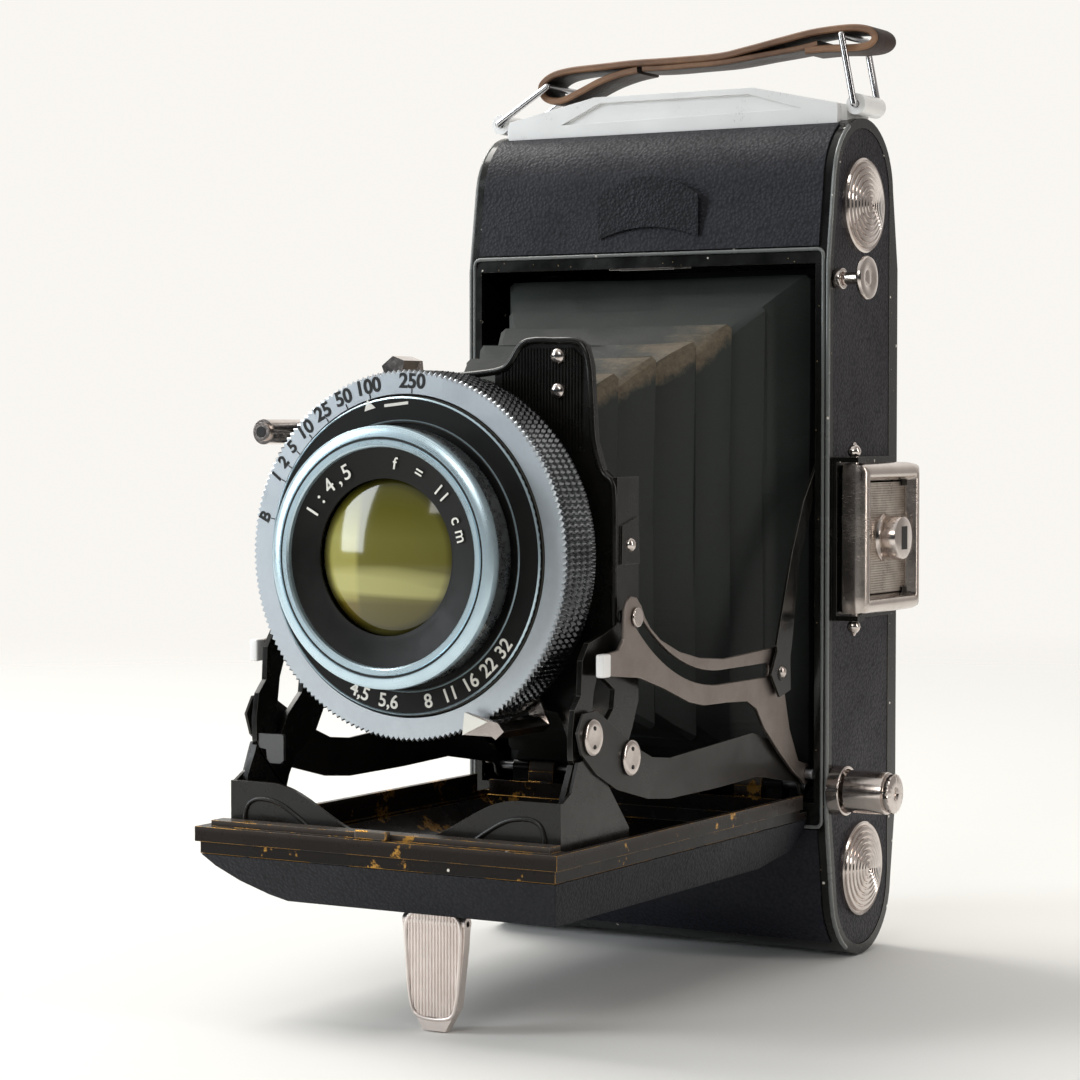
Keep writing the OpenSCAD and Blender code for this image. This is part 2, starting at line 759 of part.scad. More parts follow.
module bed_button() {
  color("#c9b8a8") placed() {
    rod_x(36, 45.2, 1.2, bed_button_yz[0], bed_button_yz[1]);
    rod_x(45.1, 46.3, 4.1, bed_button_yz[0], bed_button_yz[1]);
  }
}

module shutter_button() {
  color("#c9c0bc") placed() {
    rod_x(36.8, 42.4, 1.6, shutter_button_yz[0], shutter_button_yz[1]);
    rod_x(42.3, 50.4, 4, shutter_button_yz[0], shutter_button_yz[1]);
    rod_x(50.3, 51.9, 3.7, shutter_button_yz[0], shutter_button_yz[1]);
  }
}

module winding_key() {
  color("#c9c0bc") placed() difference() {
    union() {
      rod_x(-41.8, -hw - 0.2, 7.6, spool_y, spool_z[1]);
      rod_x(-hw - 0.3, -31, 2, spool_y, spool_z[1]);
      box([-45.6, spool_y - 1.1, spool_z[1] - 6.2], [-41.7, spool_y + 1.1, spool_z[1] + 6.2]);
      hull() for (y = [spool_y, crank_y]) rod_x(-43.2, -41.7, 1.7, y, spool_z[1]);
      rod_x(crank_end, -43, 1.5, crank_y, spool_z[1]);
    }
    for (i = [0 : 17]) translate([0, spool_y, spool_z[1]]) rotate([i * 20 + 10, 0, 0]) rod_x(-43, -39, 0.7, 0, 7.9);
  }
}

module spool_pin() {
  color("#c9c0bc") placed() {
    rod_x(-43.4, -hw - 0.2, 5.4, spool_y, spool_z[0]);
    rod_x(-hw - 0.3, -31, 2, spool_y, spool_z[0]);
  }
}

module spool(z) {
  difference() {
    union() {
      rod_x(-33.6, 33.6, 3.6, spool_y, z);
      for (x = [-33.6, 32.6]) rod_x(x, x + 1, spool_r, spool_y, z);
    }
    for (x = [-34, 30.4]) rod_x(x, x + 3.6, 2 + pin_gap, spool_y, z);
    box([-26, spool_y - 0.5, z - 4], [26, spool_y + 0.5, z + 4]);
  }
}

module takeup_spool() {
  color("#4a4038") placed() spool(spool_z[1]);
}

module supply_spool() {
  color("#4a4038") placed() spool(spool_z[0]);
}

// Back

module back_cover() {
  color("#16181a") placed() difference() {
    intersection() {
      difference() {
        along_x(-hw, hw) side_outline();
        along_x(-hw + sheet, hw - sheet) side_outline(sheet);
      }
      box([-hw, split_y + 0.1, 0], [hw, body_d + 1, body_h]);
    }
    for (z = [58, 92]) rod_y(body_d - 3, body_d + 1, 5, 0, z);
    // Relief around the hinge knuckles
    rod_x(-40, 40, 1.8, 28, 5.9);
  }
  color("#16181a") placed() difference() {
    union() {
      rod_x(-30, -14, 1.5, 28, 5.9);
      rod_x(14, 30, 1.5, 28, 5.9);
      for (x = [-30, 14]) box([x, 28.4, 5.9], [x + 16, 29.8, 9.6]);
    }
    rod_x(-40, 40, 0.8 + pin_gap, 28, 5.9);
    intersection() {
      along_x(-hw, hw) side_outline(sheet);
      box([-hw, 20, 0], [hw, body_d, 40]);
    }
  }
}

module back_leather() {
  color("#2a2d3a") placed() difference() {
    box([-37.2, body_d, 29], [37.2, body_d + 0.3, 131]);
    for (z = [58, 92]) rod_y(body_d - 1, body_d + 1, 5, 0, z);
    box([-9, body_d - 1, 114.4], [9, body_d + 1, 128]);
  }
}

module back_latch() {
  color("#b9aaa2") placed() {
    box([-8, body_d + 0.05, 119], [8, body_d + 0.9, 127]);
    for (i = [0 : 4]) box([-6, body_d + 0.8, 120 + i * 1.4], [6, body_d + 1.5, 120.7 + i * 1.4]);
  }
}

module window_shutter() {
  color("#16181a") placed() box([-6.4, body_d + 0.4, 50], [6.4, body_d + 1.2, 100]);
}

module red_windows() {
  color("#8a1414") placed() for (z = [58, 92]) rod_y(body_d - 1.1, body_d - 0.2, 5, 0, z);
}

module pressure_plate() {
  color("#303234") placed() {
    box([-32, gate_y + 1.2, 36], [32, gate_y + 2, 124]);
    // Leaf spring between the plate and the back
    box([-6, gate_y + 1.9, 60], [6, body_d - sheet, 61]);
    box([-6, gate_y + 1.9, 99], [6, body_d - sheet, 100]);
  }
}

// Carrying handle

module bail(x0, bar) {
  legs = 5.7;
  for (s = [-1, 1]) {
    a = atan2(bar[0] - x0, bar[1] - knuckle_z);
    translate([x0, handle_y + s * legs, knuckle_z]) {
      rotate([0, a, 0]) cylinder(h = bail_len, r = wire_r);
      sphere(wire_r);
      rotate([0, a, 0]) translate([0, 0, bail_len]) sphere(wire_r);
    }
  }
  rod_y(handle_y - legs, handle_y + legs, wire_r, x0, knuckle_z);
  rod_y(handle_y - legs, handle_y + legs, wire_r, bar[0], bar[1]);
}

module bail_right() {
  color("#b8b8b8") placed() bail(knuckle_x, bar_right);
}

module bail_left() {
  color("#b8b8b8") placed() bail(-knuckle_x, bar_left);
}

module strap() {
  color("#5a4334") placed() along_y(handle_y - 4.6, handle_y + 4.6) difference() {
    polygon([
      [-31, 169.4], [-30.4, 170.8], [-28.8, 172.1], [-25.6, 173], [-19.7, 173.8], [-1.9, 174], [9.8, 174],
      [23.8, 176.4], [36, 177.6], [39.6, 177.5], [42.2, 176.6], [43.8, 175.2], [44, 173.9], [43, 172.9], [41, 172.3],
      [26.8, 172.5], [10.5, 172.1], [-1.9, 171.3], [-12.4, 170.1], [-18.3, 168.1], [-23.8, 166], [-26.6, 165.8],
      [-29.2, 166.6], [-30.7, 167.9]
    ]);
    polygon([[27.4, 174.4], [33, 175.8], [37.2, 176.5], [38.6, 175.9], [38.7, 174.6], [37.2, 173.8], [32, 173.8]]);
    polygon([
      [-29.8, 168.9], [-28.6, 170.7], [-24, 171.9], [-19, 171.6], [-24, 169.4], [-26.8, 168.1], [-28.6, 167.9]
    ]);
  }
}

body_shell();
side_leather();
front_leather();
spool_caps();
handle_plate();
film_gate();
film_rollers();
bed_catch();
hinge_pins();
link_pins();
tripod_bush();
button_collars();
finder_base();
finder_pin();
finder_front();
finder_eyepiece();
bellows();
bed_shell();
bed_leather();
foot_bracket();
side_arms();
arm_studs();
bed_latch();
support_leg();
slot_link_right();
slot_link_left();
finger_tab_right();
finger_tab_left();
slot_stud();
brace_right();
brace_left();
lens_standard();
standard_studs();
shutter_case();
shutter_blades();
scale_ring();
rear_cell();
rear_lens();
speed_ring();
aperture_pointer();
cocking_lever();
release_lever();
focus_ring();
name_ring();
front_lens();
bed_button();
shutter_button();
winding_key();
spool_pin();
takeup_spool();
supply_spool();
back_cover();
back_leather();
back_latch();
window_shutter();
red_windows();
pressure_plate();
bail_right();
bail_left();
strap();
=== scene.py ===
import json
import math

import bmesh
import bpy
from mathutils import Matrix, Vector


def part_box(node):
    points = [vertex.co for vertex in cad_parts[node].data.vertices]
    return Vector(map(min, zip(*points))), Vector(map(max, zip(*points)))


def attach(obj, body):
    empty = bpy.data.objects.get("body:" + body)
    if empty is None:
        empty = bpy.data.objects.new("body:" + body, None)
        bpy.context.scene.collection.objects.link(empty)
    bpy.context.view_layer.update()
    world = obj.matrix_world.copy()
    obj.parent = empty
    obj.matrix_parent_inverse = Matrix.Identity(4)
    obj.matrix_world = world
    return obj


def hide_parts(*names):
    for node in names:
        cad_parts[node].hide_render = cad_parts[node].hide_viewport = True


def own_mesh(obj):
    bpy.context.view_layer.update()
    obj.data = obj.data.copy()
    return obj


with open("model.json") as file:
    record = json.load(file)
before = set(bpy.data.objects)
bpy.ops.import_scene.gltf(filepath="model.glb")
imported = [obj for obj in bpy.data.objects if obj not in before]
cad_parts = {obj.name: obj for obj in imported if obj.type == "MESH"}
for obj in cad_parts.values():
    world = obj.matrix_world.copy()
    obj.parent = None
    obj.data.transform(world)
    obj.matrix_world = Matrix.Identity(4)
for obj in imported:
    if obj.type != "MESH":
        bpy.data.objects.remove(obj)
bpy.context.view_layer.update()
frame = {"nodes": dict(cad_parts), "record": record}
NODES = frame["nodes"]
BODY_OF = {n: b for b, names in frame["record"]["behaviour"]["bodies"].items() for n in names}
SLOT_OF = {s["node"]: s["material_slot"] for s in frame["record"]["subparts"]}
MM = 0.001
SIDES = ((-1, "left"), (1, "right"))
FRONT_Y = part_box("body_shell")[0].y
RING_LOW, RING_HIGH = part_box("speed_ring")
LENS_X = (RING_LOW.x + RING_HIGH.x) / 2
LENS_Z = (RING_LOW.z + RING_HIGH.z) / 2


def place(x, y, z):
    """A point given in mm: x from the middle, y from the body's front face, z from the floor."""
    return Vector((x * MM, FRONT_Y + y * MM, z * MM))


def middle(low, high):
    """Centre of a box in mm, measured as place measures."""
    return (low.x + high.x) / 2 / MM, ((low.y + high.y) / 2 - FRONT_Y) / MM, (low.z + high.z) / 2 / MM


def srgb(r, g, b):
    return tuple(
        (c / 255 / 12.92 if c <= 10 else ((c / 255 + 0.055) / 1.055) ** 2.4)
        for c in (r, g, b)
    ) + (1.0,)


# Materials


def color_ramp(tree, fac, *stops):
    """Colours or greys at places from 0 to 1."""
    ramp = tree.nodes.new("ShaderNodeValToRGB")
    elements = ramp.color_ramp.elements
    while len(elements) < len(stops):
        elements.new(0.5)
    for element, (at, color) in zip(elements, stops):
        element.position = at
        element.color = color if isinstance(color, tuple) else (color, color, color, 1)
    tree.links.new(fac, ramp.inputs["Fac"])
    return ramp.outputs["Color"]


def color_mix(tree, fac, a, b, blend="MIX"):
    mix = tree.nodes.new("ShaderNodeMix")
    mix.data_type = "RGBA"
    mix.blend_type = blend
    for name, value in (("Factor", fac), ("A", a), ("B", b)):
        socket = [s for s in mix.inputs if s.name == name and s.enabled][0]
        if isinstance(value, (int, float, tuple)):
            socket.default_value = value
        else:
            tree.links.new(value, socket)
    return [s for s in mix.outputs if s.enabled][0]


class Shader:
    """A principled material, with short ways to add procedural detail to it."""

    def __init__(self, name, color, rough=0.5, metal=0.0, coat=0.0, coat_rough=0.1):
        self.material = bpy.data.materials.new(name)
        self.material.use_nodes = True
        self.tree = self.material.node_tree
        self.bsdf = self.tree.nodes["Principled BSDF"]
        self.set("Base Color", color)
        self.set("Roughness", rough)
        self.set("Metallic", metal)
        if coat:
            self.set("Coat Weight", coat)
            self.set("Coat Roughness", coat_rough)
        self.coords = self.node("ShaderNodeTexCoord").outputs["Object"]

    def node(self, kind, **values):
        n = self.tree.nodes.new(kind)
        for key, value in values.items():
            setattr(n, key, value)
        return n

    def link(self, a, b):
        self.tree.links.new(a, b)

    def set(self, socket, value):
        self.bsdf.inputs[socket].default_value = value

    def feed(self, socket, source):
        self.link(source, self.bsdf.inputs[socket])

    def scaled(self, factors):
        m = self.node("ShaderNodeMapping")
        m.inputs["Scale"].default_value = factors
        self.link(self.coords, m.inputs["Vector"])
        return m.outputs["Vector"]

    def noise(self, scale, detail=4.0, rough=0.6, vector=None, distort=0.0):
        n = self.node("ShaderNodeTexNoise")
        n.inputs["Scale"].default_value = scale
        n.inputs["Detail"].default_value = detail
        n.inputs["Roughness"].default_value = rough
        n.inputs["Distortion"].default_value = distort
        self.link(vector or self.coords, n.inputs["Vector"])
        return n.outputs["Fac"]

    def cells(self, scale, output="Distance", smooth=None):
        n = self.node("ShaderNodeTexVoronoi", feature="SMOOTH_F1" if smooth else "F1")
        n.inputs["Scale"].default_value = scale
        if smooth:
            n.inputs["Smoothness"].default_value = smooth
        self.link(self.coords, n.inputs["Vector"])
        return n.outputs[output]

    def ramp(self, fac, *stops):
        return color_ramp(self.tree, fac, *stops)

    def math(self, operation, a, b=None):
        m = self.node("ShaderNodeMath", operation=operation)
        for i, v in enumerate((a, b)):
            if v is None:
                continue
            if isinstance(v, (int, float)):
                m.inputs[i].default_value = v
            else:
                self.link(v, m.inputs[i])
        return m.outputs[0]

    def weighted(self, a, share_a, b, share_b):
        return self.math("ADD", self.math("MULTIPLY", a, share_a), self.math("MULTIPLY", b, share_b))

    def mix(self, fac, a, b):
        return color_mix(self.tree, fac, a, b)

    def along(self, axis):
        """One coordinate on the object, in metres."""
        n = self.node("ShaderNodeSeparateXYZ")
        self.link(self.coords, n.inputs[0])
        return n.outputs[axis]

    def share(self, value, low, high):
        """0 where value is low, 1 where it is high."""
        return self.math("MULTIPLY", self.math("SUBTRACT", value, low), 1 / (high - low))

    def attribute(self, name):
        return self.node("ShaderNodeAttribute", attribute_name=name).outputs["Fac"]

    def bump(self, height, strength, distance=0.0002):
        b = self.node("ShaderNodeBump")
        b.inputs["Strength"].default_value = strength
        b.inputs["Distance"].default_value = distance
        self.link(height, b.inputs["Height"])
        last = self.bsdf.inputs["Normal"]
        if last.is_linked:
            self.link(last.links[0].from_socket, b.inputs["Normal"])
        self.link(b.outputs["Normal"], last)

    def lens_radius(self):
        """Distance from the lens axis, in metres."""
        dx = self.math("SUBTRACT", self.along("X"), LENS_X)
        dz = self.math("SUBTRACT", self.along("Z"), LENS_Z)
        return self.math("SQRT", self.math("ADD", self.math("MULTIPLY", dx, dx), self.math("MULTIPLY", dz, dz)))


def specks(s, base, color, scale, size, share):
    """Adds sparse small chips of another colour to base."""
    near = s.math("LESS_THAN", s.cells(scale), size)
    some = s.math("GREATER_THAN", s.cells(scale, output="Color"), 1 - share)
    return s.mix(s.math("MULTIPLY", near, some), base, color)


def leather(name, dark, light, grain=1050, rough=0.55, depth=0.5):
    s = Shader(name, dark, rough)
    pebble = s.cells(grain, smooth=0.35)
    patches = s.noise(60, 5)
    fine = s.noise(3500, 2)
    tone = s.mix(s.math("MULTIPLY", pebble, s.math("ADD", patches, 0.25)), light, dark)
    s.feed("Base Color", specks(s, tone, srgb(150, 145, 140), 260, 0.05, 0.05))
    s.feed("Roughness", s.ramp(s.weighted(patches, 0.6, pebble, 0.4), (0.2, rough - 0.14), (0.8, rough + 0.16)))
    s.bump(s.weighted(pebble, -1.0, fine, 0.25), depth, 0.00018)
    s.bump(s.noise(28, 2), 0.05, 0.0012)
    s.set("Specular IOR Level", 0.3)
    return s.material


def enamel(
    name, color, rough=0.2, chips=0.16, wear=None, wear_limit=0.6, orange=0.05, coat=0.12, shine=0.34,
    painted_light_levels=None, rub=0.16
):
    s = Shader(name, color, rough, coat=coat, coat_rough=0.1)
    s.set("Specular IOR Level", shine)
    dust = s.noise(90, 6, 0.7)
    # Given levels, the colour follows height from low to high: a painted sheen, not the enamel's own colour.
    if painted_light_levels:
        low, high, painted_sheen_stops = painted_light_levels
        color = s.ramp(s.share(s.along("Z"), low, high), *painted_sheen_stops)
    base = s.mix(s.math("MULTIPLY", dust, 0.22), color, srgb(62, 60, 56))
    base = specks(s, base, srgb(225, 220, 210), 330, 0.09, chips)
    base = specks(s, base, srgb(120, 105, 80), 700, 0.09, chips * 0.6)
    edge = s.attribute("wear")
    # Rounded edges are lightened by rub: partly wear, partly painted highlight for the light they catch.
    base = s.mix(s.math("MULTIPLY", edge, rub), base, srgb(170, 164, 154))
    if wear:
        mask = s.ramp(
            s.math("ADD", s.noise(120, 6, 0.7), s.math("MULTIPLY", edge, 0.14)), (wear_limit, 0.0),
            (wear_limit + 0.03, 1.0)
        )
        base = s.mix(mask, base, wear)
        s.feed("Metallic", s.math("MULTIPLY", mask, 0.8))
    s.feed("Base Color", base)
    s.feed("Roughness", s.ramp(dust, (0.3, rough - 0.06), (0.75, rough + 0.2)))
    s.bump(s.noise(700, 2), orange, 0.0001)
    return s.material


def metal(name, color, rough=0.2, tint=None, brushed=None, scratch=0.06, spots=0.4, metallic=1.0):
    s = Shader(name, color, rough, metallic)
    tarnish = s.noise(140, 6, 0.65)
    stretched = s.scaled(brushed or (1, 1, 1))
    lines = s.noise(900, 3, 0.7, stretched)
    base = s.mix(
        s.ramp(tarnish, (0.42, 0.0), (0.8, spots)), color, tint or tuple(c * 0.45 for c in color[:3]) + (1,)
    )
    s.feed("Base Color", base)
    s.feed(
        "Roughness",
        s.ramp(s.weighted(tarnish, 0.6, lines, 0.4), (0.3, max(rough - 0.08, 0.03)), (0.75, rough + 0.18))
    )
    s.bump(lines, scratch, 0.00005)
    return s.material


def turned_metal(name, color, rough=0.3, metallic=1.0):
    """Metal with fine turning marks round the lens axis."""
    s = Shader(name, color, rough, metallic)
    radius = s.lens_radius()
    v = s.node("ShaderNodeCombineXYZ")
    s.link(radius, v.inputs[0])
    lines = s.noise(9000, 3, 0.7, v.outputs[0])
    soil = s.noise(75, 6, 0.7)
    s.feed(
        "Base Color",
        s.mix(s.ramp(soil, (0.4, 0.0), (0.85, 0.5)), color, tuple(c * 0.5 for c in color[:3]) + (1,))
    )
    s.feed("Roughness", s.ramp(s.weighted(lines, 0.5, soil, 0.5), (0.3, rough - 0.1), (0.75, rough + 0.15)))
    s.bump(lines, 0.12, 0.00004)
    return s.material


def bellows_cloth():
    s = Shader("bellows_cloth", srgb(46, 49, 47), 0.72)
    grain = s.cells(1500, smooth=0.4)
    wide = s.noise(45, 5, 0.6)
    creases = s.noise(130, 3, 0.5, s.scaled((0.5, 0.35, 2.6)), 0.6)
    base = s.mix(wide, srgb(28, 31, 30), srgb(58, 63, 61))
    ridge = s.attribute("wear")
    rub = s.math("MULTIPLY", s.math("ADD", s.noise(260, 8, 0.8, s.scaled((0.4, 1, 1))), 0.1), ridge)
    base = s.mix(
        s.ramp(rub, (0.28, 0.0), (0.46, 1.0)), base,
        s.mix(s.noise(900, 6, 0.8), srgb(40, 34, 27), srgb(128, 116, 98))
    )
    s.feed("Base Color", specks(s, base, srgb(170, 165, 150), 300, 0.05, 0.05))
    s.feed("Roughness", s.ramp(wide, (0.3, 0.55), (0.7, 0.85)))
    s.bump(s.math("ADD", grain, s.math("MULTIPLY", s.noise(2600, 2), 0.4)), 0.22, 0.00012)
    s.bump(creases, 0.35, 0.0006)
    s.set("Specular IOR Level", 0.25)
    return s.material


def strap_side(name, dark, light, fibre=False):
    s = Shader(name, dark, 0.6)
    grain = s.cells(1400, smooth=0.4)
    patches = s.noise(70, 6, 0.7, s.scaled((0.5, 1, 1)))
    fibres = s.noise(500, 5, 0.7, s.scaled((0.12, 1, 1)))
    s.feed(
        "Base Color",
        s.mix(s.ramp(s.weighted(patches, 0.7, fibres, 0.3), (0.38, 0.0), (0.66, 1.0)), dark, light)
    )
    s.feed("Roughness", s.ramp(patches, (0.3, 0.42), (0.7, 0.72)))
    s.bump(fibres if fibre else grain, 0.3, 0.0002)
    return s.material


GLASS_REACH = 0.0133  # radius of the front glass in metres


def glass_with_painted_reflection():
    # The glass's yellow-green colour is a painted reflection: by height it runs dark below, light in the middle
    # and darker above, with upright and level bands of light and dark laid over it, and it darkens towards the
    # rim.
    s = Shader("glass_with_painted_reflection", srgb(150, 145, 62), 0.1, coat=0.6, coat_rough=0.06)
    painted_reflection_bands = s.noise(60, 2, 0.4, s.scaled((1.0, 1.0, 0.16)), 0.35)
    painted_light_levels = s.noise(85, 2, 0.4, s.scaled((0.12, 0.12, 1.0)), 0.3)
    up = s.share(s.along("Z"), LENS_Z - GLASS_REACH, LENS_Z + GLASS_REACH)
    body = s.ramp(
        up, (0.0, srgb(62, 50, 18)), (0.2, srgb(112, 98, 34)), (0.24, srgb(160, 152, 78)),
        (0.62, srgb(168, 164, 92)), (0.8, srgb(128, 124, 48)), (1.0, srgb(80, 80, 26))
    )
    tone = s.mix(s.ramp(painted_reflection_bands, (0.46, 0.0), (0.54, 0.75)), body, srgb(84, 80, 30))
    tone = s.mix(s.ramp(painted_light_levels, (0.58, 0.0), (0.66, 0.55)), tone, srgb(206, 202, 130))
    edge = s.ramp(s.share(s.lens_radius(), 0, GLASS_REACH), (0.86, 0.0), (1.0, 0.85))
    s.feed("Base Color", s.mix(edge, tone, srgb(28, 28, 10)))
    s.set("Specular IOR Level", 0.3)
    return s.material


WARM = srgb(222, 212, 206)
GOLD = srgb(182, 136, 66)
LIP_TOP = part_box("bed_shell")[1].z
# Painted sheen and shade on the bed's lip, by height: dark below, light towards the top edge, dark again at the
# very top.
LIP_PAINTED_SHEEN = (
    (0.0, srgb(13, 7, 6)), (0.45, srgb(26, 17, 14)), (0.62, srgb(66, 58, 53)), (0.86, srgb(108, 100, 93)),
    (0.92, srgb(14, 12, 11))
)
M = {
    # The body enamel's strong rub lightens its rounded edges: partly wear, partly painted highlight.
    "enamel": enamel("body_enamel", srgb(6, 7, 7), 0.16, 0.6, None, 0.6, 0.06, 0.18, 0.28, None, 0.42),
    "body_leather": leather("front_leather", srgb(4, 5, 9), srgb(31, 32, 43), 1600),
    "side_leather": leather("side_leather", srgb(7, 6, 11), srgb(35, 32, 42), 1700, 0.5),
    "bed_leather": leather("bed_leather", srgb(1, 2, 4), srgb(16, 18, 29), 1700, 0.5, 0.6),
    "lip": enamel(
        "bed_enamel", srgb(22, 18, 16), 0.22, 0.12, GOLD, 0.6, 0.05, 0.04, 0.14,
        (LIP_TOP - 0.008, LIP_TOP, LIP_PAINTED_SHEEN)
    ),
    "paint": enamel("arm_paint", srgb(17, 14, 12), 0.3, 0.04, srgb(120, 92, 48), 0.84),
    "brace": enamel("brace_paint", srgb(8, 8, 7), 0.14, 0.04),
    "bracket": enamel("bracket_paint", srgb(24, 23, 22), 0.22, 0.05),
    "plate_black": enamel("plate_paint", srgb(8, 8, 7), 0.18, 0.08, GOLD, 0.84),
    "case": enamel("case_lacquer", srgb(7, 8, 9), 0.4, 0.03, None, 0.6, 0.03, 0.0, 0.22),
    "matt": enamel("matt_black", srgb(3, 3, 4), 0.42, 0.02, None, 0.6, 0.03, 0.0, 0.2),
    "nickel": metal("nickel", WARM, 0.13, srgb(104, 84, 74)),
    "satin": metal("satin_nickel", srgb(204, 194, 187), 0.18, srgb(110, 96, 86), (1, 1, 8), 0.01, 0.25),
    "leg": metal("leg_nickel", srgb(232, 222, 217), 0.32, srgb(150, 126, 112), (1, 1, 8), 0.05, 0.25),
    "link": metal("link_steel", srgb(150, 140, 134), 0.4, srgb(92, 80, 76), (1, 1, 6), 0.05, 0.25),
    "tab": metal("tab_steel", srgb(104, 104, 104), 0.34, srgb(60, 60, 60), (1, 1, 6), 0.05, 0.25),
    "chrome": metal("plate_chrome", srgb(253, 253, 252), 0.3, srgb(240, 240, 240), (6, 1, 1), 0.02, 0.2, 0.2),
    "wire": metal("bail_wire", srgb(200, 200, 202), 0.14),
    "ring": turned_metal("ring_face", srgb(212, 219, 225), 0.34),
    "knurl": metal("knurled_rim", srgb(138, 141, 144), 0.16, srgb(44, 44, 46), None, 0.03, 0.7),
    # Light grey beads: their colour is a painted highlight along the body's rounded edges.
    "bead": enamel("edge_bead_painted_highlight", srgb(118, 122, 121), 0.2, 0.7, None, 0.6, 0.1, 0.4, 0.5),
    "fine": metal("fine_knurl", srgb(196, 200, 202), 0.25, srgb(90, 90, 92), None, 0.03, 0.4),
    "bezel": turned_metal("bezel_chrome", srgb(204, 226, 236), 0.3, 0.75),
    # Black ink for the dials' print; the same black also fills holes, slots and grooves as painted shade.
    "ink_and_shade": Shader("dial_ink_and_painted_shade", srgb(6, 6, 7), 0.55).material,
    "white_ink": Shader("dial_white", srgb(240, 238, 230), 0.5).material,
    "glass": glass_with_painted_reflection(),
    "bellows": bellows_cloth(),
    "strap": strap_side("strap_leather", srgb(20, 13, 10), srgb(60, 42, 33)),
    "strap_edge": strap_side("strap_edge", srgb(96, 66, 46), srgb(160, 122, 92), True),
    "steel": metal("plain_steel", srgb(150, 150, 152), 0.3),
    "spool": enamel("spool_japan", srgb(20, 16, 14), 0.3),
    "red": Shader("red_celluloid", srgb(120, 8, 8), 0.15, coat=0.6).material,
}
SLOT_LOOK = {
    "body_enamel": "enamel", "side_leather": "side_leather", "front_leather": "body_leather",
    "bed_leather": "bed_leather", "nickel": "nickel", "plate_chrome": "chrome", "satin_nickel": "satin",
    "link_steel": "link", "black_paint": "paint", "bellows": "bellows", "case_black": "case",
    "ring_silver": "ring", "ring_black": "matt", "bezel": "bezel", "lens_glass": "glass",
    "red_film": "red", "steel": "steel", "spool_metal": "spool", "strap_leather": "strap",
    "bail_wire": "wire",
}


# Mesh helpers


def add_object(name, data):
    obj = bpy.data.objects.new(name, data)
    bpy.context.scene.collection.objects.link(obj)
    return obj


def evaluated_mesh(obj):
    return bpy.data.meshes.new_from_object(obj.evaluated_get(bpy.context.evaluated_depsgraph_get()))


def finish_piece(obj, look, body, nodes=(), smooth=38, weighted=False):
    """Gives a piece its look and hangs it on its body."""
    if look:
        obj.data.materials.append(M[look] if isinstance(look, str) else look)
    if obj.type == "MESH" and smooth:
        obj.data.polygons.foreach_set("use_smooth", [True] * len(obj.data.polygons))
        obj.data.set_sharp_from_angle(angle=math.radians(smooth))
    if weighted:
        m = obj.modifiers.new("weighted", "WEIGHTED_NORMAL")
        m.keep_sharp = True
    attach(obj, body)
    if nodes:
        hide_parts(*nodes)
    return obj


def from_bmesh(name, bm, face_out=True):
    if face_out:
        bmesh.ops.recalc_face_normals(bm, faces=bm.faces)
    mesh = bpy.data.meshes.new(name)
    bm.to_mesh(mesh)
    bm.free()
    return add_object(name, mesh)


def bevel_edges(bm, width, angle=32):
    """Rounds every edge sharper than angle, and marks the rounding in the corner attribute wear."""
    layer = bm.loops.layers.float_color.new("wear")
    for face in bm.faces:
        for loop in face.loops:
            loop[layer] = (0, 0, 0, 1)
    sharp = [e for e in bm.edges if len(e.link_faces) == 2 and e.calc_face_angle(0) > math.radians(angle)]
    if sharp and width:
        made = bmesh.ops.bevel(
            bm, geom=sharp, offset=width * MM, offset_type="OFFSET", segments=2, profile=0.5, affect="EDGES",
            clamp_overlap=True
        )
        for face in made["faces"]:
            for loop in face.loops:
                loop[layer] = (1, 1, 1, 1)


def soften(node, width, look):
    """A copy of a CAD node with rounded edges, which stands for it."""
    bm = bmesh.new()
    bm.from_mesh(NODES[node].data)
    bmesh.ops.remove_doubles(bm, verts=bm.verts, dist=3e-6)
    bmesh.ops.dissolve_limit(
        bm, angle_limit=math.radians(1.0), use_dissolve_boundaries=False, verts=bm.verts, edges=bm.edges
    )
    bevel_edges(bm, width)
    obj = from_bmesh(node + "_look", bm)
    return finish_piece(obj, look or SLOT_LOOK[SLOT_OF[node]], BODY_OF[node], [node], 40, True)


def lathe(name, rows, centre, axis, look, body, nodes=(), segments=128, closed=True, swell=None, smooth=35):
    """Turns rows of (radius, distance along axis) about an axis; swell(row, angle) adds to the radius."""
    bm = bmesh.new()
    axis = Vector(axis).normalized()
    side = axis.orthogonal().normalized()
    up = axis.cross(side)
    rings = []
    for r, (radius, along) in enumerate(rows):
        base = centre + axis * along * MM
        if radius < 1e-6:
            rings.append([bm.verts.new(base)])
            continue
        ring = []
        for i in range(segments):
            a = 2 * math.pi * i / segments
            k = radius + (swell(r, a) if swell else 0)
            ring.append(bm.verts.new(base + (side * math.cos(a) + up * math.sin(a)) * k * MM))
        rings.append(ring)
    pairs = list(zip(rings, rings[1:] + rings[:1])) if closed else list(zip(rings, rings[1:]))
    for a, b in pairs:
        if len(a) == 1 and len(b) == 1:
            continue
        for i in range(segments):
            j = (i + 1) % segments
            if len(a) == 1:
                bm.faces.new((a[0], b[i], b[j]))
            elif len(b) == 1:
                bm.faces.new((a[i], b[0], a[j]))
            else:
                bm.faces.new((a[i], b[i], b[j], a[j]))
    return finish_piece(from_bmesh(name, bm), look, body, nodes, smooth)


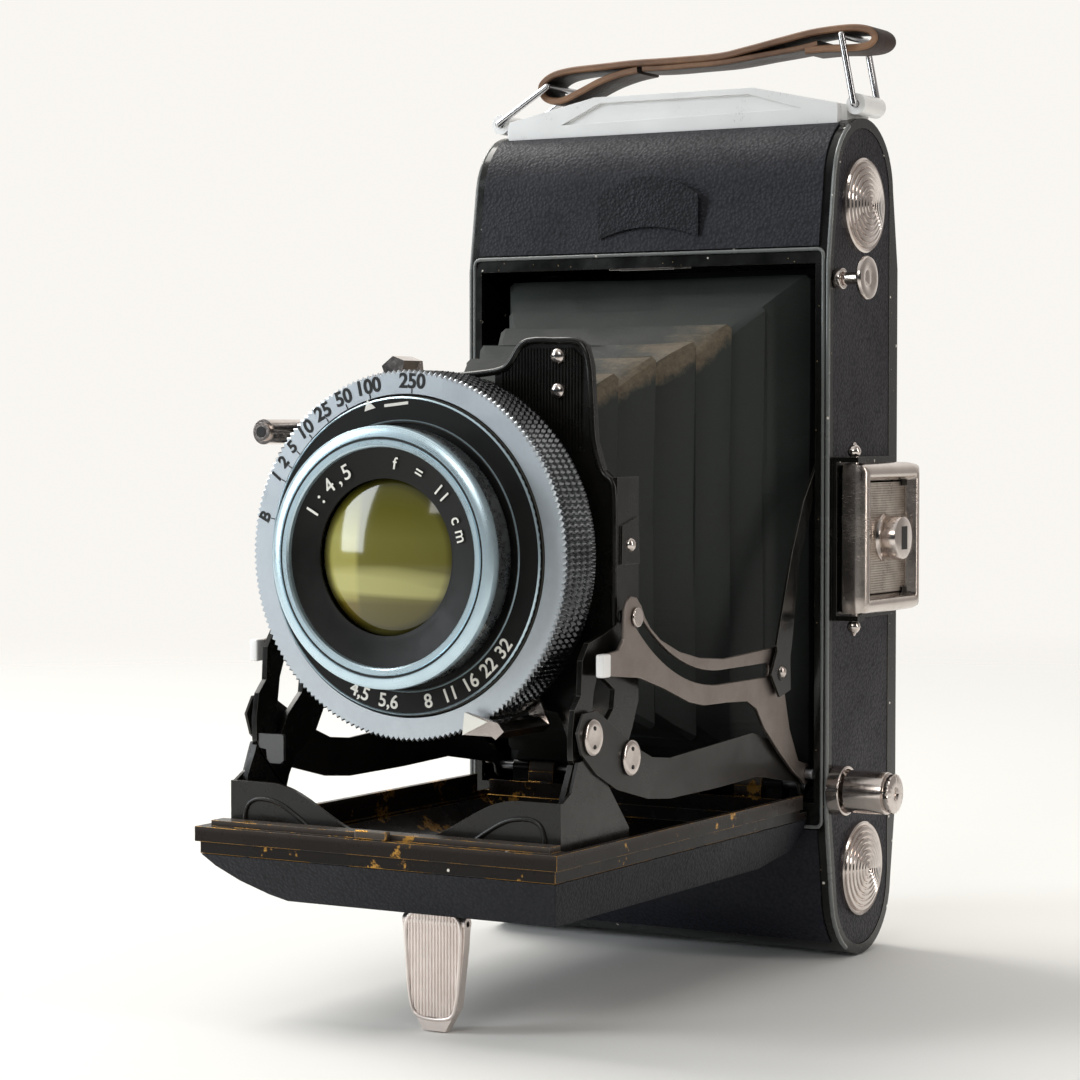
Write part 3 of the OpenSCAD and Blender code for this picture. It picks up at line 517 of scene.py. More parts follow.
def slab(name, outline, low, high, axis, look, body, nodes=(), bevel=0.15):
    """An outline in mm pushed out between two values along X or Y, with rounded edges."""
    bm = bmesh.new()
    put = (lambda p, t: place(t, p[0], p[1])) if axis == "X" else (lambda p, t: place(p[0], t, p[1]))
    a = [bm.verts.new(put(p, low)) for p in outline]
    b = [bm.verts.new(put(p, high)) for p in outline]
    bm.faces.new(a)
    bm.faces.new(b)
    for i in range(len(outline)):
        j = (i + 1) % len(outline)
        bm.faces.new((a[i], b[i], b[j], a[j]))
    bevel_edges(bm, bevel, 25)
    return finish_piece(from_bmesh(name, bm), look, body, nodes, 40, True)


def tube(name, points, radius, look, body, nodes=(), closed=False, sides=4):
    """A round bead along points given as vectors, as a mesh."""
    curve = bpy.data.curves.new(name, "CURVE")
    curve.dimensions = "3D"
    curve.bevel_depth = radius * MM
    curve.bevel_resolution = sides
    curve.use_fill_caps = not closed
    spline = curve.splines.new("POLY")
    spline.points.add(len(points) - 1)
    for p, v in zip(spline.points, points):
        p.co = (*v, 1)
    spline.use_cyclic_u = closed
    temp = add_object(name + "_curve", curve)
    mesh = evaluated_mesh(temp)
    bpy.data.objects.remove(temp)
    mesh.name = name
    obj = add_object(name, mesh)
    obj.data.materials.clear()
    return finish_piece(obj, look, body, nodes, 60)


def smooth_path(points, steps=8, closed=False):
    """Catmull-Rom points through the given vectors."""
    out = []
    n = len(points)
    spans = n if closed else n - 1
    for i in range(spans):
        p = [points[(i + k) % n] if closed else points[min(max(i + k, 0), n - 1)] for k in (-1, 0, 1, 2)]
        for s in range(steps):
            t = s / steps
            square = 2 * p[0] - 5 * p[1] + 4 * p[2] - p[3]
            cube = 3 * p[1] - p[0] - 3 * p[2] + p[3]
            out.append(0.5 * (2 * p[1] + (p[2] - p[0]) * t + square * t * t + cube * t ** 3))
    if not closed:
        out.append(points[-1])
    return out


def dial_text(name, items, y, look, body, bold=0.05):
    """Words on a dial face in the plane y; items are (text, x, z, size, lean)."""
    bm = bmesh.new()
    for text, x, z, size, lean in items:
        curve = bpy.data.curves.new(name, "FONT")
        curve.body = text
        curve.size = size * MM
        curve.extrude = 0.05 * MM
        curve.offset = bold * MM
        curve.align_x = "CENTER"
        curve.align_y = "CENTER"
        temp = add_object(name + "_text", curve)
        mesh = evaluated_mesh(temp)
        bpy.data.objects.remove(temp)
        turn = Matrix.Rotation(lean, 4, "Y") @ Matrix.Rotation(math.pi / 2, 4, "X")
        mesh.transform(Matrix.Translation(place(x, y, z)) @ turn)
        bm.from_mesh(mesh)
        bpy.data.meshes.remove(mesh)
    obj = from_bmesh(name, bm, False)
    obj.data.materials.clear()
    return finish_piece(obj, look, body, (), 0)


# The pieces whose solid is kept, with rounded edges


def ribbed_metal():
    s = Shader("ribbed_nickel", srgb(206, 190, 180), 0.26, 1.0)
    lines = s.math("SINE", s.math("MULTIPLY", s.along("Z"), 2 * math.pi / 0.00046))
    soil = s.noise(160, 5, 0.7)
    s.feed(
        "Base Color",
        s.mix(
            s.ramp(s.math("ADD", s.math("MULTIPLY", lines, 0.1), soil), (0.3, 1.0), (0.7, 0.0)),
            srgb(204, 194, 184), srgb(138, 126, 116)
        )
    )
    s.feed("Roughness", s.ramp(soil, (0.3, 0.24), (0.8, 0.42)))
    s.bump(lines, 0.25, 0.0001)
    return s.material


M["ribbed"] = ribbed_metal()

EDGE = {
    "body_shell": (0.5, "enamel"), "back_cover": (0.4, "enamel"), "bed_shell": (0.35, "lip"),
    "lens_standard": (0.35, "plate_black"), "foot_bracket": (0.25, "bracket"), "side_arms": (0.22, "paint"),
    "brace_right": (0.18, "brace"), "brace_left": (0.18, "brace"), "slot_link_right": (0.2, "link"),
    "slot_link_left": (0.2, "link"), "side_leather": (0.12, None), "front_leather": (0.15, None),
    "back_leather": (0.12, None), "bed_leather": (0.3, None), "finder_base": (0.25, "enamel"),
    "handle_plate": (0.45, "chrome"), "film_gate": (0.15, "matt"), "finger_tab_right": (0.35, "chrome"),
    "finger_tab_left": (0.35, "chrome"), "bed_latch": (0.3, "lip"), "bed_catch": (0.2, None),
    "back_latch": (0.2, None), "window_shutter": (0.25, None), "pressure_plate": (0.2, "matt"),
    "tripod_bush": (0.3, None), "spool_pin": (0.6, None), "winding_key": (0.35, None),
    "takeup_spool": (0.15, None), "supply_spool": (0.15, None), "support_leg": (0.35, "leg"),
    "aperture_pointer": (0.12, "nickel"), "cocking_lever": (0.25, None), "release_lever": (0.25, None),
    "arm_studs": (0.2, None), "slot_stud": (0.2, None), "shutter_case": (0.25, None),
    "shutter_blades": (0.05, None), "rear_cell": (0.2, None), "rear_lens": (0.3, None),
    "red_windows": (0.1, None), "film_rollers": (0.1, None), "hinge_pins": (0.1, None),
    "link_pins": (0.1, None), "finder_pin": (0.1, None), "bail_right": (0, None), "bail_left": (0, None),
    "button_collars": (0.25, None), "scale_ring": (0.12, "matt"),
}
for node, (width, look) in EDGE.items():
    soften(node, width, look)


# Bellows: ridges as (y, half width, lowest z, highest z), with a valley before each

RIDGES = [
    (
        -66.8, 15.5, 56.0, 104.0
    ), (-60.5, 16.2, 54.2, 106.0), (-52.5, 17.4, 51.8, 108.2), (-43.6, 18.6, 49.2, 110.7),
    (
        -32.2, 20.1, 46.4, 114.0
    ), (-22.3, 23.2, 43.6, 116.8), (-11.6, 24.9, 40.6, 120.3), (-3.6, 28.0, 37.4, 123.8),
    (5.2, 33.0, 32.4, 130.0), (23.6, 33.0, 32.4, 130.0),
]
VALLEY = [2.2, 2.8, 3.2, 3.4, 3.4, 3.4, 2.4, 1.2, 0.0]
SIDE_STEPS = 14
RIDGED = 8  # ridges before this one stand out; the last two are the plain rear skirt


def bellows_ring(half, low, high, cut):
    """Points round a rectangle with small cut corners, as (x, z, share of the way along that side, side)."""
    corners = [(-half, low), (half, low), (half, high), (-half, high)]
    points = []
    for i in range(4):
        a, b = Vector(corners[i]), Vector(corners[(i + 1) % 4])
        way = (b - a).normalized()
        a, b = a + way * cut, b - way * cut
        for s in range(SIDE_STEPS + 1):
            points.append((*(a + (b - a) * s / SIDE_STEPS), s / SIDE_STEPS, i))
    return points


def build_bellows():
    bm = bmesh.new()
    rings = []
    for i, (y, half, low, high) in enumerate(RIDGES):
        if i:
            before = RIDGES[i - 1]
            depth = VALLEY[i - 1]
            if depth:
                t = 0.16
                mid = [before[k] + (RIDGES[i][k] - before[k]) * t for k in range(4)]
                rings.append((mid[0], bellows_ring(mid[1] - depth, mid[2] + depth, mid[3] - depth, 1.2), 0))
                t = 0.62
                lift = depth * 0.30
                mid = [before[k] + (RIDGES[i][k] - before[k]) * t for k in range(4)]
                rings.append((mid[0], bellows_ring(mid[1] - lift, mid[2] + lift, mid[3] - lift, 1.0), 0))
        if 0 < i < RIDGED:
            rings.append((y - 0.25, bellows_ring(half - 0.12, low + 0.12, high - 0.12, 0.9), 1))
        rings.append((y, bellows_ring(half, low, high, 0.8), 1 if i < RIDGED else 0))
    made = []
    wear = {}
    for r, (y, ring, ridge) in enumerate(rings):
        row = []
        for k, (x, z, share, side) in enumerate(ring):
            sway = 0.18 * math.sin(2.1 * r + 5 * share) * math.sin(math.pi * share)
            bow = 0.35 * math.sin(math.pi * share) if ridge else 0
            dx = (0, 1, 0, -1)[side] * (sway - bow)
            dz = (-1, 0, 1, 0)[side] * (sway - bow)
            v = bm.verts.new(place(x + dx, y + 0.25 * math.sin(3 * share + r), z + dz))
            from_corner = Vector((x - ring[2 * SIDE_STEPS][0], z - ring[2 * SIDE_STEPS + 1][1]))
            corner = max(0.0, 1 - from_corner.length / 26)
            front_part = min(1.0, max(0.0, (-6 - y) / 8))
            wear[v] = ridge * (0.25 + 0.75 * corner) * front_part if z > 100 and side == 2 else 0.0
            if side == 2 and z > 100:
                wear[v] = max(wear[v], 0.7 * corner * front_part)
            if side == 1 and share > 0.9:
                wear[v] = max(wear[v], (share - 0.9) * 10 * front_part)
            row.append(v)
        made.append(row)
    count = len(made[0])
    for a, b in zip(made, made[1:]):
        for i in range(count):
            j = (i + 1) % count
            bm.faces.new((a[i], a[j], b[j], b[i]))
    bm.verts.index_update()
    values = [wear[v] for v in bm.verts]
    obj = from_bmesh("bellows_look", bm)
    attribute = obj.data.attributes.new("wear", "FLOAT", "POINT")
    attribute.data.foreach_set("value", values)
    solid = obj.modifiers.new("thickness", "SOLIDIFY")
    solid.thickness = 0.5 * MM
    solid.offset = -1
    obj.data.materials.append(M["bellows"])
    obj.data.polygons.foreach_set("use_smooth", [True] * len(obj.data.polygons))
    obj.data.set_sharp_from_angle(angle=math.radians(28))
    bpy.context.view_layer.update()
    mesh = evaluated_mesh(obj)
    obj.modifiers.clear()
    obj.data = mesh
    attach(obj, "body")
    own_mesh(obj)
    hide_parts("bellows")
    return obj


build_bellows()

# Shutter rings, about the lens axis

AXIS = place(0, 0, LENS_Z / MM)
AXIS.x = LENS_X
FORWARD = (0, -1, 0)
RING_R = (RING_HIGH.x - RING_LOW.x) / 2 / MM
TEETH = 186


def ring_teeth(row, angle):
    """Pointed teeth on the front edge, and wavy knurling behind them."""
    saw = 1 - abs(2 * ((angle * TEETH / (2 * math.pi)) % 1) - 1)
    if row in (2, 3):
        return -0.5 * (1 - saw)
    if 5 <= row <= 27:
        return -0.3 + 0.3 * math.cos(angle * TEETH + 1.1 * math.sin(math.pi * row / 2.5))
    return 0


# Distances along the lens axis in mm, from the body's front face: ring face, dial inks, name ring
RING_FACE = 84.5
INK_Y, STOP_INK_Y, NAME_INK_Y = -84.54, -85.24, -91.42
front = RING_FACE
rows = [
    (27.35, front - 0.2), (27.5, front), (RING_R - 0.3, front), (RING_R, front - 0.3),
    (RING_R - 0.7, front - 0.95)
]
rows += [(RING_R - 0.05, front - 1.1 - 0.405 * i) for i in range(23)]
rows += [(RING_R - 0.5, 73.9), (27.35, 73.7)]
ring = lathe(
    "speed_ring_look", rows, AXIS, FORWARD, "ring", "speed_ring", ["speed_ring"], TEETH * 6, True, ring_teeth,
    30
)
ring.data.materials.append(M["knurl"])
for face in ring.data.polygons:
    c = face.center
    if (c.y - FRONT_Y) / MM > -front + 0.7 and Vector((c.x - LENS_X, c.z - LENS_Z)).length / MM > 28:
        face.material_index = 1

# Bright outer and inner edges of the aperture scale's black track
lathe(
    "scale_edge", [(26.6, 85.15), (26.75, 85.4), (27.0, 85.15), (27.0, 84.9), (26.6, 84.9)], AXIS, FORWARD,
    "bezel", "standard"
)
lathe(
    "scale_inner_edge", [(22.75, 85.1), (22.95, 85.5), (23.15, 85.1), (23.0, 84.9)], AXIS, FORWARD, "bezel",
    "standard"
)


def fine_knurl(row, angle):
    return (0.15 if (round(angle * 480 / (2 * math.pi)) + row) % 2 else -0.13) if 3 <= row <= 12 else 0


bezel = [
    (18.4, 91.0), (18.6, 92.2), (18.9, 92.5), (19.7, 92.5), (19.9, 92.15), (20.15, 92.15), (20.3, 92.45),
    (21.4, 92.4), (22.1, 91.9), (22.2, 91.0), (22.0, 90.1), (18.4, 90.1)
]
lathe("focus_bezel", bezel, AXIS, FORWARD, "bezel", "focus_cell", ["focus_ring"])
# The bezel's groove is a thin black ring, painted shade.
lathe(
    "focus_groove", [(19.72, 92.2), (20.32, 92.2), (20.32, 92.25), (19.72, 92.25)], AXIS, FORWARD, "ink_and_shade",
    "focus_cell"
)
knurl = [(18.6, 90.2), (21.5, 90.2), (21.65, 90.0)] + [(21.7, 89.8 - 0.42 * i) for i in range(10)] + [
    (21.5, 85.6), (20.5, 85.4), (20.5, 79.2), (18.6, 79.2)
]
lathe("focus_knurl", knurl, AXIS, FORWARD, "fine", "focus_cell", (), 480, True, fine_knurl, 25)

name_face = [
    (13.25, 90.2), (13.25, 90.6), (13.6, 90.75), (14.2, 90.95), (18.2, 91.35), (18.6, 91.6), (18.62, 90.2)
]
lathe("name_ring_look", name_face, AXIS, FORWARD, "case", "focus_cell", ["name_ring"])
GLASS_R = (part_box("front_lens")[1].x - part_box("front_lens")[0].x) / 2 / MM
dome = [(GLASS_R * i / 14, 91.55 - 2.4 * (i / 14) ** 2) for i in range(1, 15)]
glass = [(0, 91.55)] + dome + [(GLASS_R, 88.4), (0, 88.4)]
lathe("front_glass", glass, AXIS, FORWARD, "glass", "focus_cell", ["front_lens"], 96, False, None, 30)

# Numbers on the dials, at their measured places round the axis
DIAL_Z = LENS_Z / MM
SPEED_RADIUS, TICK_RADIUS, STOP_RADIUS, WORD_RADIUS = 29.55, 27.9, 24.95, 15.9


def round_dial(marks, radius, size, upright=False):
    """(text, x, z) marks moved to one radius, with the lean of the dial there."""
    items = []
    for text, x, z in marks:
        away = Vector((x, z - DIAL_Z)).normalized()
        lean = math.atan2(away.x, away.y)
        if upright:
            lean = math.atan2(-away.x, -away.y)
        items.append((text, away.x * radius, DIAL_Z + away.y * radius, size, lean))
    return items


SPEEDS = [
    ("B", -29.5, 85.8), ("1", -26.9, 92.9), ("2", -25.6, 95.6), ("5", -23.9, 98.4), ("10", -20.9, 101.3),
    ("25", -17.0, 104.2), ("50", -12.6, 106.5), ("100", -7.4, 108.0), ("250", 1.5, 108.5)
]
speed_items = [
    (t, x, z, size * (0.86 if t in ("B", "1", "2", "5") else 1), lean * 0.82)
    for t, x, z, size, lean in round_dial(SPEEDS, SPEED_RADIUS, 3.5)
]
dial_text("speed_numbers", speed_items, INK_Y, "ink_and_shade", "speed_ring", 0.09)
ticks = [
    ("l", away.x * TICK_RADIUS, DIAL_Z + away.y * TICK_RADIUS, 1.1, math.atan2(away.x, away.y))
    for away in (Vector((x, z - DIAL_Z)).normalized() for _, x, z in SPEEDS)
]
dial_text("speed_ticks", ticks, INK_Y, "ink_and_shade", "speed_ring", 0.03)
STOPS = [
    ("4,5", -8.8, 55.8), ("5,6", -2.9, 54.7), ("8", 5.0, 55.7), ("11", 9.2, 57.1), ("16", 13.3, 58.8),
    ("22", 16.7, 61.6), ("32", 19.2, 65.1)
]
dial_text("stop_numbers", round_dial(STOPS, STOP_RADIUS, 3.3, True), STOP_INK_Y, "white_ink", "standard", 0.05)
front_words = [
    ("1", -62), (":", -52), ("4", -42), (",", -34), ("5", -27), ("f", 9), ("=", 27), ("1", 44), ("1", 50),
    ("c", 66), ("m", 76)
]
words = [
    (
        t, WORD_RADIUS * math.sin(math.radians(a)), DIAL_Z + WORD_RADIUS * math.cos(math.radians(a)),
        3.7 if a < 0 else 2.9, math.radians(a)
    )
    for t, a in front_words
]
dial_text("lens_numbers", words, NAME_INK_Y, "white_ink", "focus_cell", 0.02)
slab(
    "speed_dash", [(-3.6, 105.1), (1.2, 105.6), (1.2, 105.1), (-3.6, 104.6)], -85.3, -85.18, "Y", "white_ink",
    "standard", (), 0.02
)
slab(
    "speed_index", [(-7.6, 103.9), (-5.4, 104.5), (-7.1, 105.9)], -85.32, -85.18, "Y", "white_ink", "standard",
    (), 0.02
)

# Buttons and caps, turned


def turned_x(name, rows, y, z, look, body, nodes=(), swell=None):
    """A lathe piece about an axis along X."""
    return lathe(name, rows, place(0, y, z), (1, 0, 0), look, body, nodes, 72, True, swell, 32)


low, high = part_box("bed_button")
face = high.x / MM
rows = [
    (0, face - 0.15), (1.2, face - 0.15), (1.5, face - 0.3), (2.2, face - 0.05), (3.4, face),
    (3.9, face - 0.15), (4.1, face - 0.5), (4.1, face - 0.9), (3.8, face - 1.25), (1.4, face - 1.35),
    (1.2, face - 1.8), (1.2, low.x / MM), (0, low.x / MM)
]
turned_x("bed_button_look", rows, *middle(low, high)[1:], "nickel", "bed_button", ["bed_button"])

low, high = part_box("shutter_button")
tip = high.x / MM


def grip(row, angle):
    return 0.12 * math.cos(angle * 20) if row in (4, 5) else 0


rows = [
    (0, tip - 0.5), (1.0, tip - 0.5), (1.3, tip - 0.1), (3.1, tip), (3.6, tip - 0.25), (3.7, tip - 0.7),
    (3.55, tip - 1.35), (3.5, tip - 1.5), (3.9, tip - 1.65), (4.0, tip - 2.0), (4.0, tip - 9.2),
    (3.7, tip - 9.5), (1.7, tip - 9.5), (1.6, tip - 9.9), (1.6, low.x / MM), (0, low.x / MM)
]
turned_x(
    "shutter_button_look", rows, *middle(low, high)[1:], "nickel", "shutter_button", ["shutter_button"], grip
)

low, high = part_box("spool_caps")
cap_y = middle(low, high)[1]
CAP_R, CAP_BASE = 9.05, 39.3
for label, z in (("lower", low.z / MM + CAP_R), ("upper", high.z / MM - CAP_R)):
    base = CAP_BASE
    rows = [(CAP_R, base), (9.0, base + 0.6), (8.7, base + 0.85), (8.3, base + 0.75), (8.1, base + 0.62)]
    r = 8.0
    for k in range(7):
        rise = 0.75 + 1.25 * (1 - (r / 9) ** 2)
        rows += [
            (r, base + rise), (r - 0.55, base + rise + 0.12), (r - 0.8, base + rise - 0.12),
            (r - 0.98, base + rise - 0.12)
        ]
        r -= 1.1
    rows += [(0.2, base + 1.95), (0, base + 1.95), (0, base)]
    turned_x("spool_cap_" + label, rows, cap_y, z, "nickel", "body", ["spool_caps"] if label == "lower" else ())
    pin = [(0, 31.0), (1.6, 31.0), (2.0, 31.4), (2.0, 39.35), (0, 39.35)]
    turned_x("spool_stub_" + label, pin, cap_y, z, "steel", "body")

# Finder frame, swept round its window

low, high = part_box("finder_front")
FX0, FX1 = low.x / MM, high.x / MM
FY0, FY1, FZ0, FZ1 = (low.y - FRONT_Y) / MM, (high.y - FRONT_Y) / MM, low.z / MM, high.z / MM
WALL = 3.5
section = [
    (0, FX0), (0, FX1 - 2.2), (0.25, FX1 - 1.5), (0.55, FX1 - 1.0), (0.7, FX1 - 0.45), (1.0, FX1 - 0.1),
    (1.6, FX1), (2.3, FX1 - 0.15), (2.9, FX1 - 0.55), (3.3, FX1 - 1.2), (WALL, FX1 - 2.2), (WALL, FX0 + 0.4),
    (3.1, FX0)
]
bm = bmesh.new()
rings = []
corners = [
    (FY0 + WALL, FZ0 + WALL, 180), (FY1 - WALL, FZ0 + WALL, 270), (FY1 - WALL, FZ1 - WALL, 0),
    (FY0 + WALL, FZ1 - WALL, 90)
]
for cy, cz, a0 in corners:
    for step in range(9):
        a = math.radians(a0 + step * 90 / 8)
        out = Vector((math.cos(a), math.sin(a)))
        out /= max(abs(out.x), abs(out.y)) ** 0.78
        rings.append([bm.verts.new(place(x, cy + out.x * u, cz + out.y * u)) for u, x in section])
for a, b in zip(rings, rings[1:] + rings[:1]):
    for k in range(len(section)):
        n = (k + 1) % len(section)
        bm.faces.new((a[k], b[k], b[n], a[n]))
bmesh.ops.remove_doubles(bm, verts=bm.verts, dist=1e-6)
finish_piece(from_bmesh("finder_frame_look", bm), "satin", "finder_frame", ["finder_front"], 40)
plate = [(5.9, 69.7), (25.2, 69.7), (25.2, 90.7), (5.9, 90.7)]
EYE = place(0, 15.5, 80.2)
EYE_BODY = BODY_OF["finder_eyepiece"]
slab("finder_plate", plate, 43.0, 43.9, "X", "ribbed", EYE_BODY, ["finder_eyepiece"], 0.3)
boss = [
    (0, 48.1), (3.5, 48.1), (4.0, 47.9), (4.2, 47.4), (4.2, 45.2), (4.3, 44.6), (4.6, 44.2), (4.6, 43.8),
    (0, 43.8)
]
lathe("finder_boss", boss, EYE, (1, 0, 0), "nickel", EYE_BODY)
# The eyepiece's window is a black sheet, painted shade for the dark opening.
slot = [(14.2, 78.0), (16.8, 78.0), (16.8, 82.4), (14.2, 82.4)]
slab("finder_slot", slot, 47.6, 48.14, "X", "ink_and_shade", EYE_BODY, (), 0.05)
acorn = [(0, 0), (0.7, 0.0), (1.15, 0.5), (1.3, 1.1), (1.15, 1.6), (0.6, 2.1), (0.3, 2.7), (0, 2.9)]
for k, (z, way) in enumerate(((97.0 - 1.4, 1), (63.5 + 1.4, -1))):
    foot = place(43.2, 3.2, z)
    lathe(f"finder_acorn_{k}", acorn, foot, (0, 0, way), "nickel", BODY_OF["finder_pin"], (), 48, False)

# Light grey bead along the body's two front corners, a painted highlight for the light the rounded corners
# catch

END_R, END_Z, MID_Y, LEAN_Z, BODY_H = 13.25, 13.5, 15.8, 28, 160


def round_arc(centre, radius, degrees):
    """Points (u, v) on an arc, with the angles measured from +u toward +v."""
    turns = [math.radians(a) for a in degrees]
    return [(centre[0] + radius * math.cos(a), centre[1] + radius * math.sin(a)) for a in turns]


lower = [(2 * MID_Y - y, 2 * END_Z - z) for y, z in round_arc((MID_Y, END_Z), END_R, (60, 50, 40, 30, 20, 8.5))]
lower.append((0.25, LEAN_Z))
outline = lower + [(y, BODY_H - z) for y, z in reversed(lower)]
for sign, side in SIDES:
    tube(f"front_bead_{side}", [place(sign * 39.1, y, z) for y, z in outline], 0.42, "bead", "body")
# A light grey bead round the front opening, likewise a painted highlight.
frame_path = []
for cx, cz, start in ((37, 133.3, 0), (-37, 133.3, 90), (-37, 27.2, 180), (37, 27.2, 270)):
    bend = round_arc((cx, cz), 1.2, [start + a for a in (0, 30, 60, 90)])
    frame_path += [place(x, 0.1, z) for x, z in bend]
tube("opening_highlight_bead", frame_path, 0.36, "bead", "body", (), True)

# Rim, ribs and screws of the standard's plate

PLATE_Y = -68.7
rim = [
    (1, 110.1), (5, 110.4), (8.9, 110.9), (11.2, 112.0), (13.6, 115.2), (16.0, 116.0), (20, 115.95),
    (24.2, 115.8), (26.0, 114.7), (27.0, 111.5), (27.5, 105), (27.9, 99), (29.5, 93.7), (31.2, 92.1),
    (31.8, 89), (31.8, 76), (31.8, 64)
]
rim_path = smooth_path([place(x, PLATE_Y - 0.1, z) for x, z in rim], 6)
tube("plate_rim", rim_path, 0.62, "plate_black", "standard", (), False, 4)
RIB = 0.62  # pitch of the pressed ribs


def rib_top(x):
    """Upper end of the plate's rib at x, below the rim."""
    if x < 11:
        return 110.6
    if x < 14:
        return 110.6 + (x - 11) * 1.35
    return 114.7 - (x - 23.8) * 0.9 if x > 23.8 else 114.7


def ribs(name, start, end, profile, y, span, look, body):
    """Upright ribs from x start to end; profile is one rib as (x, y), span(x) gives its two ends."""
    bm = bmesh.new()
    previous = None
    x = start
    while x < end:
        for dx, dy in profile:
            pair = [bm.verts.new(place(x + dx, y + dy, z)) for z in span(x + dx)]
            if previous:
                bm.faces.new((previous[0], previous[1], pair[1], pair[0]))
            previous = pair
        x += RIB
    finish_piece(from_bmesh(name, bm), look, body, (), 20)


PLATE_RIB = [(0.0, 0.0), (0.14, -0.3), (0.34, -0.3), (0.48, 0.0)]
ribs("plate_ribs", 9.6, 25.4, PLATE_RIB, PLATE_Y - 0.05, lambda x: (97, rib_top(x)), "plate_black", "standard")
for k, z in enumerate((107.4, 113.3)):
    rows = [(0, 0.75), (0.7, 0.72), (1.15, 0.5), (1.35, 0.15), (1.35, -0.2), (0, -0.2)]
    lathe(f"plate_screw_{k}", rows, place(21.1, PLATE_Y - 0.5, z), (0, -1, 0), "nickel", "standard", (), 40)
    # Each screw's slot is a thin black slab, painted shade.
    slab(
        f"plate_screw_slot_{k}", [(20.0, z - 0.15), (22.2, z - 0.15), (22.2, z + 0.15), (20.0, z + 0.15)],
        PLATE_Y - 1.27, PLATE_Y - 1.1, "Y", "ink_and_shade", "standard", (), 0.02
    )

for sign, side in SIDES:
    rows = [(0, 0.75), (0.5, 0.72), (0.95, 0.5), (1.2, 0.1), (1.2, -0.4), (0, -0.4)]
    lathe(
        f"flange_rivet_{side}", rows, place(sign * 32.8, -64.7, 81.3), (sign, 0, 0), "nickel", "standard",
        ["standard_studs"] if sign < 0 else (), 40
    )
    lathe(
        f"brace_rivet_{side}", rows, place(sign * 36.3, -13.2, 56.2), (sign, 0, 0), "nickel",
        BODY_OF["brace_" + side], (), 40
    )
LINK_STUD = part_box("slot_stud")
rows = [(0, 35.9), (0.6, 35.9), (0.8, 35.7), (1.7, 35.7), (1.75, 35.2), (1.2, 35.2), (1.2, 31.4), (0, 31.4)]
lathe("left_slot_stud", rows, place(0, *middle(*LINK_STUD)[1:]), (-1, 0, 0), "nickel", "standard", (), 40)
tab = [
    (-31.2, 47.6), (-26.2, 47.6), (-25.9, 47.3), (-25.9, 43.1), (-26.6, 42.5), (-28.8, 42.5), (-29.4, 43.2),
    (-29.6, 44.9), (-31.2, 45.1)
]
slab("press_tab", tab, -83.6, -82.9, "Y", "tab", "standard", (), 0.2)

arc = [(30.1, 32.2), (30.0, 34.6), (28.9, 36.3), (26.6, 36.9), (22.8, 36.3), (18.6, 34.0), (15.2, 31.6)]
for sign, side in SIDES:
    path = smooth_path([place(sign * x, -89.1, z) for x, z in arc], 6)
    tube(f"bracket_rib_{side}", path, 0.42, "bracket", "bed", (), False, 4)

# Ribbed recess of the support leg
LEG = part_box("support_leg")
leg_x = middle(*LEG)[0]
leg_y = (LEG[0].y - FRONT_Y) / MM
recess = [
    (-5.4, 17.4), (-4.5, 19.4), (-2.4, 20.5), (0, 20.8), (2.4, 20.5), (4.5, 19.4), (5.4, 17.4), (5.1, 11),
    (4.6, 5.6), (3.0, 2.4), (-3.0, 2.4), (-4.6, 5.6), (-5.1, 11)
]
path = smooth_path([place(leg_x + x, leg_y - 0.02, z) for x, z in recess], 5, True)
tube("leg_rim", path, 0.34, "leg", "support_leg", (), True, 4)
flat = [Vector((leg_x + x, z)) for x, z in recess]


def height_range(x):
    """Lowest and highest z of the recess outline at x."""
    x = min(x, leg_x + 5.2)
    hits = []
    for a, b in zip(flat, flat[1:] + flat[:1]):
        if (a.x - x) * (b.x - x) <= 0 and abs(a.x - b.x) > 1e-6:
            hits.append(a.y + (b.y - a.y) * (x - a.x) / (b.x - a.x))
    return min(hits), max(hits)


LEG_RIB = [(0.0, 0.0), (0.12, -0.22), (0.36, -0.22), (0.5, 0.0)]
ribs("leg_ribs", leg_x - 5.1, leg_x + 5.05, LEG_RIB, leg_y + 0.12, height_range, "leg", "support_leg")

# Plain arched plaque pressed into the front leather
PLAQUE_X, PLAQUE_HALF, PLAQUE_STEPS = 0.95, 10.95, 12


def arch(base, rise):
    """A shallow arch across the plaque, as (x, z) points."""
    xs = [-10 + 2 * PLAQUE_HALF * i / PLAQUE_STEPS for i in range(PLAQUE_STEPS + 1)]
    return [(x, base + rise * (1 - ((x - PLAQUE_X) / PLAQUE_HALF) ** 2)) for x in xs]


plaque = arch(145.6, 3.9) + arch(137.6, 2.2)[::-1]
leather_y = (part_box("front_leather")[0].y - FRONT_Y) / MM
slab("leather_plaque", plaque, leather_y - 0.07, leather_y + 0.1, "Y", "bed_leather", "body", (), 0.05)

# Heads of the arm studs, with their two pin holes as black discs of painted shade
STUD = [(0, 0.22), (0.5, 0.27), (1.9, 0.18), (2.5, 0.27), (2.95, 0.14), (3.05, 0.02), (3.0, -0.3), (0, -0.3)]
PIN_HOLE = [(0, 0.24), (0.36, 0.24), (0.36, 0.05), (0, 0.05)]
STUD_BODY = BODY_OF["arm_studs"]
for k, (y, z) in enumerate(((-79.8, 49.9), (-66.7, 45.3))):
    for sign, side in SIDES:
        head = place(sign * 34.15, y, z)
        lathe(f"arm_stud_{k}_{side}", STUD, head, (sign, 0, 0), "nickel", STUD_BODY, (), 56)
        for q in (-1, 1):
            name = f"stud_hole_{k}_{side}_{'n' if q < 0 else 'p'}"
            lathe(name, PIN_HOLE, place(sign * 34.2, y, z + q * 1.55), (sign, 0, 0), "ink_and_shade", STUD_BODY, (), 20)

